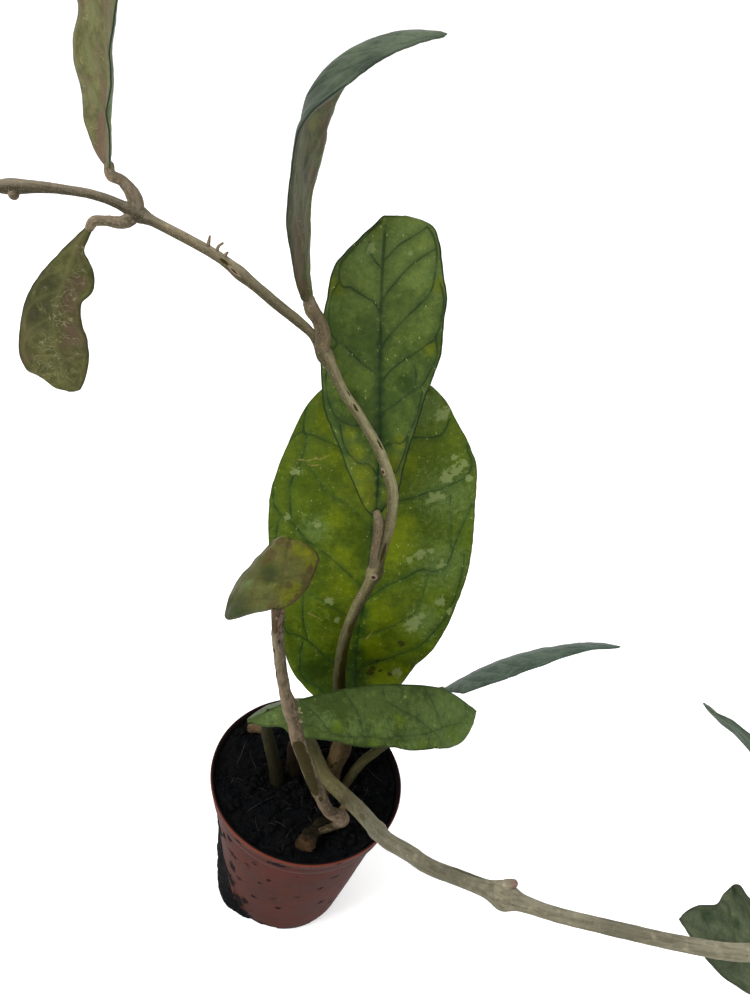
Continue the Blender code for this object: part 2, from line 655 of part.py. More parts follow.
def make_bark_chip(name, chip, collection, material):
    """A short rough scrap of bark that lies on the soil."""
    x, y, heading, length, radius = chip
    along = Vector((math.cos(math.radians(heading)), math.sin(math.radians(heading)), 0.0))
    centre = Vector((x, y, soil_height(x, y) + radius + 2 * TOUCH_GAP))
    sizes = (0.7, 1.0, 0.92, 1.0, 0.6)
    route = []
    for i, size in enumerate(sizes):
        place = centre + along * length * (i / (len(sizes) - 1) - 0.5)
        route.append((*place, radius * size))
    scrap = tube(name, route, collection, step=1.2)
    scrap.data.materials.append(material)
    return scrap


def main():
    clear_scene()
    parts = new_collection("potted_hoya")
    cutters = new_collection("cutters")
    vine = finish("vine bark", VINE_COLOUR, 0.7)
    wood = finish("old wood", WOOD_COLOUR, 0.8)
    leaf_skin = finish("leaf skin", LEAF_COLOUR, 0.45)
    leaf = {blade.name: blade for blade in LEAVES}

    make_pot(parts, cutters)
    buried = [MAIN_VINE, TRAILING_VINE, CUT_STUB, LEAF_6_STALK, LEAF_7_STALK, OLD_STUB]
    make_soil(parts, buried, cutters)

    main_stem = tube("main_vine", MAIN_VINE, parts, swellings=MAIN_VINE_NODES)
    stalks = [
        (LEAF_1_STALK, "leaf_1"), (LEAF_2_STALK, "leaf_2"), (LEAF_3_STALK, "leaf_3"),
        (LEAF_4_STALK, "leaf_4"), (LEAF_5_STALK, "leaf_5"),
    ]
    branches = []
    for route, name in stalks:
        branches.append(tube("stalk", reach_leaf(route, leaf[name]), parts, TWIG_STEP))
    for route in SPURS:
        branches.append(tube("spur", route, parts, TWIG_STEP))
    join_stems("main_vine", main_stem, branches, parts, vine)

    trailing = tube("trailing_vine", TRAILING_VINE, parts, swellings=TRAILING_VINE_NODES)
    branches = [
        tube("stalk", reach_leaf(LEAF_9_STALK, leaf["leaf_9"]), parts, TWIG_STEP),
        tube("stalk", reach_leaf(LEAF_10_STALK, leaf["leaf_10"]), parts, TWIG_STEP),
        tube("nub", TRAILING_NUB, parts, TWIG_STEP),
    ]
    join_stems("trailing_vine", trailing, branches, parts, vine)

    stub = tube("short_stem", CUT_STUB, parts, step=2.0)
    to_leaf = reach_leaf(SHORT_STEM, leaf["leaf_8"])
    rising = tube("rising", to_leaf, parts, swellings=SHORT_STEM_NODES)
    join_stems("short_stem", stub, [rising], parts, wood)

    for route, name in ((LEAF_6_STALK, "leaf_6"), (LEAF_7_STALK, "leaf_7")):
        stalk = tube(name + "_stalk", reach_leaf(route, leaf[name]), parts, step=2.4)
        stalk.data.materials.append(vine)
    old_stub = tube("old_stub", OLD_STUB, parts, step=2.0)
    old_stub.data.materials.append(wood)
    for i, chip in enumerate(BARK_CHIPS):
        make_bark_chip(f"bark_chip_{i + 1}", chip, parts, wood)

    for blade in LEAVES:
        make_leaf(blade, parts, leaf_skin)


main()
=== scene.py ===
"""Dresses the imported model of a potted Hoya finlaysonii: leaves, vines, soil and nursery pot.

Routes and sizes are in millimetres, as in the solids' source, and MM turns them into metres.
Left and right of a leaf are as seen from its upper side, with its stalk below.
"""

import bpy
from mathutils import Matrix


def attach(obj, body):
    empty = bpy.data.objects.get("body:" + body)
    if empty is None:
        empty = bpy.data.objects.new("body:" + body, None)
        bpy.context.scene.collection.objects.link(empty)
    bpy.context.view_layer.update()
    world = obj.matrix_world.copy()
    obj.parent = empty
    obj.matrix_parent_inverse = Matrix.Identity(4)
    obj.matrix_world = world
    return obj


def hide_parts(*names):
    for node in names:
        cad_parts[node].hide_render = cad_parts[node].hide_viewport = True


bl_info = {
    "name": "Potted hoya",
    "version": (1, 0, 0),
    "blender": (4, 5, 0),
    "location": "3D View > Sidebar > Hoya",
    "description": "Leaves, vines, soil and pot of a potted Hoya finlaysonii",
    "category": "Add Mesh",
}

import math
from contextlib import contextmanager
from dataclasses import dataclass, field

import bpy
import numpy as np
from bpy.props import FloatProperty, FloatVectorProperty, IntProperty, PointerProperty
from mathutils import Matrix, Vector, noise

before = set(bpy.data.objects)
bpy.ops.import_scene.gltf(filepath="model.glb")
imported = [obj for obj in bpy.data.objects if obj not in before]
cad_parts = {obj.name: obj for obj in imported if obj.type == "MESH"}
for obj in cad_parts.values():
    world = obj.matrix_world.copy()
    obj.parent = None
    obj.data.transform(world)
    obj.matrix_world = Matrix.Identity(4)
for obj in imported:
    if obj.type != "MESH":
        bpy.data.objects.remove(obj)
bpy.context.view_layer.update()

MM = 0.001
TO_VIEWER = (0.0, -0.83, 0.55)
UPWARD = (0.0, 0.0, 1.0)

# Pot
BAND_DEPTH = 6.5
BAND_STEP = 1.1             # from the wall out to the band
LIP = 1.0                   # from the band out to the rim
DRAIN_HOLES = 4
DRAIN_RADIUS = 2.4
DRAIN_CIRCLE = 12.5
FOOT_NOTCHES = 8
NOTCH_LENGTH = 5.0
NOTCH_WIDTH = 5.0
NOTCH_HEIGHT = 1.5
FLOOR = 1.4
POT_SIDES = 176
FACET = 1.6                 # longest stretch of a profile between two rings
CREASE = math.radians(40.0)  # a sharper edge than this stays sharp
SMEAR_SCALE = 0.42          # millimetres of wall to a degree of heading
SMEARS = [  # heading in degrees, height, half width and half height of the dirt on the wall
    (266.0, 53.2, 4.0, 1.3), (276.0, 52.3, 2.6, 0.9), (300.0, 54.8, 1.6, 0.7),
    (240.0, 53.4, 2.2, 1.1), (251.0, 44.5, 1.6, 1.4), (306.0, 40.9, 2.0, 0.9),
    (288.0, 40.2, 1.8, 0.8), (299.0, 34.6, 1.6, 1.0), (266.0, 25.4, 2.6, 0.9),
    (273.0, 19.2, 2.8, 1.2), (306.0, 20.9, 3.0, 1.2), (252.0, 20.3, 1.2, 1.4),
    (237.0, 25.3, 2.2, 1.4), (337.0, 19.4, 1.6, 3.0), (325.0, 51.5, 3.0, 2.0),
    (205.0, 50.0, 3.0, 2.4), (232.0, 37.0, 3.0, 2.0), (228.0, 45.0, 2.4, 2.6),
    (236.0, 7.0, 4.5, 7.0), (247.0, 1.5, 6.0, 3.2), (227.0, 16.0, 3.5, 6.0),
    (342.0, 40.0, 1.4, 3.0), (333.0, 30.0, 1.2, 1.6), (262.0, 1.0, 6.0, 2.4),
    (230.0, 28.0, 2.6, 4.0), (246.0, 40.0, 1.6, 1.6), (262.0, 38.0, 1.2, 1.0),
    (259.0, 46.0, 1.8, 0.9), (279.0, 45.0, 1.4, 0.7), (313.0, 46.0, 1.6, 0.8),
    (244.0, 12.0, 2.4, 2.4), (294.0, 10.0, 1.6, 0.8), (318.0, 27.0, 1.2, 1.0),
    (284.0, 30.0, 1.4, 0.6), (256.0, 33.0, 1.0, 0.8), (320.0, 14.0, 2.0, 0.8),
]
CRUST_HEADING = 200.0       # degrees, of the middle of the dried dirt on the wall
CRUST_HEIGHT = 45.3
CRUST_WEIGHT = [  # height, thickness
    (0.0, 3.0), (4.0, 3.0), (12.0, 2.1), (22.0, 1.2), (30.0, 0.5), (38.0, 0.0), (45.6, -0.9),
]

# Soil
SOIL_ROUGHNESS = 0.9
SOIL_GRAIN = 7.0
SOIL_BOWL = 0.0014          # how fast the soil rises towards the wall
SOIL_RINGS = 84
SOIL_SIDES = 190
EDGE_DROP = 0.8             # of the soil's edge below its level
SCATTER_HEIGHT = 52.0       # at which the wall bounds the crumbs and fibres
CRUMBS_SEED = 11
FIBRES_SEED = 5
ANY_TURN = 6.3              # radians, the most that a crumb or a fibre is turned by

# Routes of the stems: (x, y, z, radius), from the root end outwards
MAIN_VINE = [
    (5.2, -3.7, 42.7, 3.0), (6.0, -2.3, 51.3, 2.9), (7.2, 2.0, 59.0, 2.8), (8.4, 7.1, 64.4, 2.8),
    (7.5, 11.0, 69.0, 2.3), (5.0, 14.5, 73.5, 2.1), (3.0, 17.0, 78.5, 2.0), (1.7, 18.5, 86.0, 1.9),
    (1.0, 19.0, 97.0, 1.8), (2.0, 19.0, 110.5, 1.7), (4.5, 19.0, 124.5, 1.65),
    (5.0, 20.0, 135.0, 1.55), (5.0, 21.0, 144.0, 1.5), (3.6, 22.0, 151.8, 1.5),
    (1.0, 22.5, 157.0, 1.45), (-2.8, 23.0, 162.8, 1.4), (-6.4, 24.0, 166.7, 1.35),
    (-10.9, 25.0, 171.2, 1.35), (-15.0, 26.0, 174.9, 1.35), (-18.8, 27.0, 179.7, 1.4),
    (-21.5, 28.0, 182.5, 1.4), (-25.5, 29.0, 186.5, 1.2), (-29.7, 30.0, 188.6, 1.35),
    (-34.7, 31.0, 190.6, 1.4), (-43.0, 33.0, 194.1, 1.4), (-51.0, 34.0, 197.7, 1.35),
    (-62.0, 36.0, 200.3, 1.3), (-68.0, 37.0, 201.4, 1.3), (-75.0, 38.5, 202.5, 1.35),
    (-83.0, 37.5, 204.5, 1.2), (-93.5, 36.0, 204.5, 1.2), (-105.0, 33.0, 203.0, 1.6),
    (-111.0, 31.5, 201.5, 1.1), (-118.0, 30.0, 198.0, 0.9), (-123.0, 29.0, 193.5, 0.6),
]
MAIN_VINE_NODES = [
    (4.6, 19.1, 125.4, 0.8), (5.0, 20.5, 141.0, 0.2), (-21.5, 28.0, 182.5, 0.8),
    (-46.5, 33.5, 196.0, 0.35), (-75.0, 38.5, 202.5, 0.9), (-104.5, 33.0, 203.0, 0.3),
    (6.5, 0.5, 56.5, 0.5), (8.0, 6.0, 63.5, 0.4),
]
MAIN_VINE_STALKS = {
    "leaf_1": [(9.0, 8.0, 65.0, 1.7), (10.0, 11.0, 65.3, 1.6)],
    "leaf_2": [
        (3.8, 18.8, 127.0, 1.25), (3.2, 18.2, 132.0, 1.1), (2.8, 18.2, 137.0, 1.15),
        (2.5, 19.3, 140.2, 1.4), (2.2, 20.3, 141.8, 1.45),
    ],
    "leaf_3": [(-22.5, 28.0, 183.0, 1.9), (-22.5, 27.0, 187.5, 1.9), (-24.0, 26.0, 191.5, 1.75)],
    "leaf_4": [(-75.0, 38.5, 203.0, 1.9), (-75.7, 37.5, 206.6, 1.85), (-78.5, 36.5, 210.0, 1.35)],
    "leaf_5": [(-75.5, 38.5, 202.0, 1.7), (-78.0, 37.0, 200.0, 1.6), (-82.0, 35.5, 199.7, 1.25)],
}
OUTER_LEAVES = ("leaf_4", "leaf_5")
SPURS = [
    [(-55.5, 34.8, 199.0, 0.6), (-55.3, 34.4, 201.0, 0.45), (-55.0, 34.0, 203.0, 0.25)],
    [(-53.0, 34.6, 198.4, 0.5), (-52.8, 34.0, 200.6, 0.4), (-51.4, 33.5, 202.2, 0.25)],
    [(-51.0, 34.4, 197.6, 0.6), (-50.6, 33.6, 199.4, 0.45), (-49.9, 33.0, 200.4, 0.25)],
    [(-103.5, 33.4, 202.6, 1.2), (-103.6, 32.0, 201.4, 1.3), (-103.7, 31.2, 200.8, 1.25)],
]
TRAILING_VINE = [
    (-4.5, 14.0, 42.0, 2.3), (-3.5, 12.5, 52.0, 2.3), (-1.5, 8.0, 59.5, 2.25),
    (2.0, 0.4, 62.4, 2.25), (5.4, -6.2, 64.8, 2.2), (11.0, -11.5, 66.6, 2.25),
    (16.1, -22.9, 77.3, 2.15), (20.3, -35.0, 88.8, 2.0), (22.7, -41.0, 94.6, 1.9),
    (26.7, -44.8, 98.3, 1.85), (31.5, -50.0, 103.0, 1.75), (37.4, -53.6, 107.3, 1.7),
    (45.5, -58.0, 112.2, 1.75), (53.6, -60.2, 114.0, 1.5), (66.5, -62.8, 118.2, 1.47),
    (78.6, -63.8, 120.4, 1.5), (88.0, -64.2, 122.5, 1.6), (95.0, -62.5, 122.5, 1.65),
    (101.5, -59.0, 122.5, 1.6), (107.5, -54.0, 121.0, 1.2), (111.5, -49.0, 118.0, 0.8),
]
TRAILING_VINE_NODES = [
    (20.0, -35.5, 89.0, 0.35), (45.6, -58.1, 112.6, 1.25), (101.5, -59.0, 122.5, 0.6),
]
TRAILING_NUB = [
    (44.5, -57.7, 114.4, 1.6), (45.4, -57.4, 114.8, 1.35), (46.5, -57.0, 115.4, 1.0),
    (47.7, -56.8, 115.8, 0.75),
]
TRAILING_VINE_STALKS = {
    "leaf_9": [(101.5, -59.0, 122.8, 1.3), (101.5, -57.0, 124.2, 1.25)],
    "leaf_10": [(102.5, -58.8, 122.0, 1.2), (107.0, -58.0, 118.5, 1.1)],
}
THORNS = [
    [(-7.0, -27.3, 115.9, 0.32), (-5.7, -27.4, 115.7, 0.26), (-4.7, -27.4, 115.5, 0.14)],
    [(-5.8, -27.0, 112.6, 0.48), (-4.9, -27.1, 112.3, 0.42), (-4.3, -27.1, 112.2, 0.22)],
]
SHORT_STEM = [
    (5.5, -20.0, 57.0, 1.0), (9.1, -17.9, 57.3, 1.0), (11.3, -15.9, 56.8, 1.2),
    (12.7, -15.5, 59.0, 1.8), (8.1, -19.7, 68.9, 1.7), (4.7, -21.8, 77.8, 1.75),
    (1.5, -23.3, 86.0, 1.7), (-1.5, -25.3, 95.6, 1.75), (-4.4, -26.2, 103.7, 1.75),
    (-6.4, -26.6, 110.8, 1.7), (-8.2, -27.1, 116.3, 1.6), (-10.1, -27.1, 121.4, 1.45),
    (-11.9, -27.1, 128.4, 1.35), (-13.3, -27.0, 134.4, 1.4), (-14.3, -27.5, 140.5, 1.35),
]
SHORT_STEM_NODES = [(12.4, -15.9, 60.0, 0.2), (-8.2, -27.0, 116.0, 0.3)]
CUT_STUB = [
    (11.0, -12.0, 43.0, 2.0), (9.5, -13.5, 51.0, 2.0), (7.2, -16.5, 55.5, 2.05),
    (5.2, -21.0, 57.0, 2.2), (4.2, -25.5, 57.6, 2.4),
]
LEAF_6_STALK = [
    (-8.0, -4.0, 43.0, 2.0), (-8.8, -3.5, 53.0, 2.1), (-10.5, -3.0, 60.0, 2.0),
    (-13.0, -3.3, 69.0, 1.9), (-15.0, -3.2, 76.0, 1.7),
]
LEAF_7_STALK = [
    (11.5, -2.5, 43.0, 1.4), (12.0, 0.0, 52.0, 1.45), (13.5, 2.5, 56.5, 1.5),
    (16.0, 6.0, 60.0, 1.5), (19.5, 10.0, 61.5, 1.5), (23.5, 15.0, 62.5, 1.45),
    (27.5, 20.0, 66.0, 1.4), (32.0, 23.5, 72.5, 1.3),
]
OLD_STUB = [
    (-2.5, -1.0, 43.0, 2.0), (-4.5, 1.0, 53.0, 2.2), (-6.0, 4.0, 58.0, 2.0), (-6.5, 5.5, 62.0, 1.9),
]
BARK_CHIPS = [  # centre x and y on the soil, heading, length, radius
    (-20.0, 12.5, 20.0, 6.0, 1.6),
    (13.0, -8.5, 70.0, 4.5, 1.1),
]
CHIP_FORM = [(0.0, 0.7), (0.25, 1.0), (0.5, 0.92), (0.75, 1.0), (1.0, 0.6)]  # share, thickness

# Marks on the stems: share of the length, degrees from the viewer's side, half width, half length
MAIN_VINE_SCARS = [
    (0.461, -52.0, 0.95, 1.3), (0.338, 2.0, 1.25, 1.2), (0.306, -40.0, 0.5, 0.8),
    (0.7, -25.0, 0.5, 2.4), (0.57, 20.0, 0.3, 0.6),
]
MAIN_VINE_DARKS = [
    (0.257, 35.0, 1.3, 3.2), (0.236, 60.0, 1.4, 4.0), (0.215, 50.0, 1.6, 5.5),
    (0.195, 35.0, 1.6, 5.0), (0.172, 25.0, 1.6, 5.0), (0.288, 80.0, 0.8, 3.0),
    (0.488, 35.0, 0.45, 2.2), (0.53, 10.0, 0.35, 1.6), (0.545, 40.0, 0.3, 1.4),
    (0.712, -15.0, 0.5, 1.8), (0.366, 20.0, 0.6, 5.0),
    (0.0735, 5.0, 0.55, 0.8), (0.069, -12.0, 0.6, 0.8), (0.08, 30.0, 0.5, 0.7),
]
SHORT_STEM_DARKS = [
    (0.545, 0.0, 2.2, 5.0), (0.5, 5.0, 2.5, 6.0), (0.45, 5.0, 2.5, 6.0), (0.4, -5.0, 2.4, 6.0),
    (0.365, -15.0, 2.1, 5.0), (0.31, 10.0, 0.8, 2.0),
    (0.66, 110.0, 0.6, 2.4), (0.8, -60.0, 0.5, 2.0), (0.83, 70.0, 0.5, 1.6),
    (0.87, -40.0, 0.4, 1.2), (0.9, 20.0, 0.4, 1.0),
]
TRAILING_VINE_DARKS = [(0.575, -40.0, 1.4, 6.0), (0.36, 60.0, 0.9, 4.0)]

# How a stem is laid out
CAP_ROWS = 5                # of a rounded end
NODE_REACH = 2.6            # of a swelling, along the stem
SCAR_HEIGHT = 0.22
STEM_AHEAD = 0.4            # a stem's direction is taken over this much either way
STALK_OVERLAP = 1.6         # of a stalk and its blade
STALK_NEAR = 3.5            # a stalk that ends nearer than this needs no point between
LONGWAYS = 0.22             # of a ridge's pattern, against its width

# Colours along the stems: (share of the length, colour)
# From 0.145 to 0.22 of its length the main vine runs under leaf 6: its dark colour there is painted
# shade.
MAIN_VINE_TONES = [
    (0.0, (0.0672, 0.0448, 0.021)), (0.115, (0.096, 0.064, 0.03)),
    (0.145, (0.036, 0.032, 0.013)), (0.22, (0.052, 0.05, 0.02)),
    (0.27, (0.082, 0.074, 0.034)), (0.34, (0.115, 0.1, 0.05)), (0.4, (0.125, 0.112, 0.06)),
    (0.45, (0.2, 0.182, 0.102)), (0.56, (0.175, 0.155, 0.088)), (0.6, (0.12, 0.102, 0.06)),
    (0.66, (0.12, 0.105, 0.065)), (0.71, (0.19, 0.16, 0.105)), (0.77, (0.19, 0.158, 0.105)),
    (0.8, (0.125, 0.106, 0.076)), (0.86, (0.15, 0.124, 0.09)), (0.92, (0.165, 0.14, 0.102)),
    (1.0, (0.18, 0.155, 0.112)),
]
STALK_TONES = [
    (0.0, (0.11, 0.092, 0.06)), (0.2, (0.104, 0.082, 0.048)), (0.75, (0.1, 0.078, 0.046)),
    (0.9, (0.15, 0.12, 0.078)),
]
OUTER_STALK_TONES = [
    (0.0, (0.13, 0.112, 0.08)), (0.3, (0.15, 0.122, 0.084)), (0.8, (0.165, 0.13, 0.088)),
    (0.95, (0.12, 0.096, 0.062)),
]
SHADY_LEFT = (-2.0, -1.0)   # a swap before the stem's start: the left side is the shady one
TRAILING_VINE_PALE = (0.125, 0.116, 0.082)
TRAILING_VINE_TONES = [
    (0.15, (0.092, 0.084, 0.034)), (0.2, (0.125, 0.112, 0.052)), (0.29, (0.14, 0.126, 0.07)),
]
TRAILING_VINE_SHADES = [  # share of the length, how many times the pale colour
    (0.4, 1.25), (0.5, 1.25), (0.56, 1.0), (0.63, 1.6), (0.7, 1.6), (0.73, 1.1), (0.78, 1.4),
    (0.9, 2.2), (1.0, 2.2),
]
NUB_TONES = [
    (0.0, (0.19, 0.172, 0.124)), (0.6, (0.195, 0.16, 0.118)), (0.9, (0.2, 0.12, 0.095)),
]
CUT_STUB_TONES = [
    (0.0, (0.01, 0.008, 0.004)), (0.88, (0.012, 0.009, 0.004)), (0.98, (0.034, 0.019, 0.008)),
]
SHORT_STEM_TONES = [
    (0.0, (0.03, 0.026, 0.012)), (0.08, (0.07, 0.052, 0.03)), (0.12, (0.19, 0.14, 0.096)),
    (0.2, (0.08, 0.056, 0.034)), (0.34, (0.09, 0.067, 0.042)), (0.44, (0.1, 0.076, 0.048)),
    (0.6, (0.1, 0.072, 0.044)), (0.86, (0.11, 0.09, 0.058)), (0.915, (0.11, 0.092, 0.062)),
    (0.93, (0.056, 0.036, 0.02)), (1.0, (0.062, 0.04, 0.024)),
]
THORN_TONES = [(0.0, (0.15, 0.12, 0.07)), (1.0, (0.21, 0.19, 0.11))]
# Leaf 6's stalk stands under its blade: its near-black colours are painted shade.
LEAF_6_STALK_TONES = [(0.0, (0.01, 0.009, 0.004)), (1.0, (0.02, 0.018, 0.007))]
LEAF_7_STALK_TIP = (0.066, 0.074, 0.03)

# Colours that no setting changes
DUST = (0.066, 0.034, 0.027)
BROWN_PEAT = (0.006, 0.0045, 0.0035)
PEELED_BARK = (0.15, 0.11, 0.074)
SCAR_RIM = (0.15, 0.12, 0.08)
SCAR_HEART = (0.032, 0.013, 0.006)
LEAF_SHEEN_AND_FILM = (0.072, 0.112, 0.028)
LEAF_SCRATCH = (0.145, 0.125, 0.032)
SCRIBBLE = (0.165, 0.15, 0.085)
SCRIBBLE_DOT = (0.15, 0.145, 0.08)

# How much of each finish mirrors the light
MATT = 0.03
BARK_SHEEN = 0.06
LEAF_SHEEN = 0.07

# Blades
WIDTH_SPAN = 20.0           # length that a row of half widths counts as, to lay a curve through it
VEIN_CORE = (1.5, 0.35)     # where a vein's colour starts and is full, in half vein widths
VEIN_HALO = (7.0, 0.5)
BLADE_AHEAD = 0.5           # a midrib's direction is taken over this much either way
QUILT_HEIGHT = 0.35         # of a blade's broad humps
PEBBLE_HEIGHT = 0.13        # of its small ones
VALLEY_DEPTH = 0.2          # of the dip that a vein runs in
GROOVE_DEPTH = 0.12         # of the vein itself, below that dip
NIBBLE_DEPTH = 0.14         # of the small notches in a margin
MARGIN_WIDTH = 1.8          # the blade thins over this much of its margin
THIN_MARGIN = 0.3           # what is left of its thickness there
PATTERN_STEP = 53.0         # between the patterns of two leaves, so that they differ
MARKS = ("pale", "brown", "yellow", "dark", "haze", "blotch", "glow")
VEIN_PAIR = [  # (along, across) from the foot of an evenly laid side vein
    (0.0, 0.0), (0.035, 0.25), (0.08, 0.52), (0.13, 0.74), (0.2, 0.87), (0.27, 0.8),
]

# Stage
BACKDROP_BEND = 700.0
BACKDROP_HEIGHT = 1500.0
FLOOR_SIDES = 96
LIGHTS = [  # name, place in metres, size, power
    ("key", (-0.85, -0.55, 1.0), 0.6, 16.0), ("fill", (0.6, -0.95, 0.6), 0.9, 4.0),
    ("top", (0.0, 0.25, 1.4), 1.2, 9.0),
]
LIGHTS_AIM = (0.0, 0.0, 0.12)


@dataclass
class Look:
    """The colours of a leaf: upper side, its tip, patches, veins and underside."""

    deep: tuple = (0.05, 0.085, 0.012)
    light: tuple = (0.085, 0.125, 0.02)
    tip: tuple = (0.06, 0.08, 0.02)
    patch: tuple = (0.12, 0.155, 0.006)
    vein: tuple = (0.018, 0.038, 0.016)
    under: tuple = (0.098, 0.122, 0.048)
    under_blotch: tuple = (0.078, 0.092, 0.036)
    spot: tuple = ()            # of brown spots, where it isn't the settings' colour
    dust: float = 0.5           # pale speckles
    veins: float = 0.8          # how dark the veins are
    rim: float = 0.5            # how dark the margins are


@dataclass
class Leaf:
    """A blade: its midrib, its widths and slopes to both sides, its veins and marks.

    Pairs are for its left and right half. A place along the midrib runs from 0 to 1, and a
    place across the blade from -1, the left margin, to 1, the right one.
    """

    name: str
    midrib: list
    facing: list
    widths: tuple               # half widths of both halves, closer together near the ends
    rise: list = field(default_factory=lambda: [(0.0, 8.0, 8.0)])
    curl: tuple = (1.0, 1.0)
    ripple: float = 0.7
    ripples: float = 3.5
    sweep: float = 0.0          # how far the left half's base hangs back
    stalk_at: float = 0.0
    spacing: float = 0.42       # of the mesh, in millimetres
    veins: list = field(default_factory=list)
    pairs: int = 0              # side veins laid evenly, in pairs
    marks: dict = field(default_factory=dict)
    scratches: list = field(default_factory=list)
    faint: list = field(default_factory=list)   # thinner veins
    evening: int = 0            # how many times the margins are evened out
    look: Look = field(default_factory=Look)


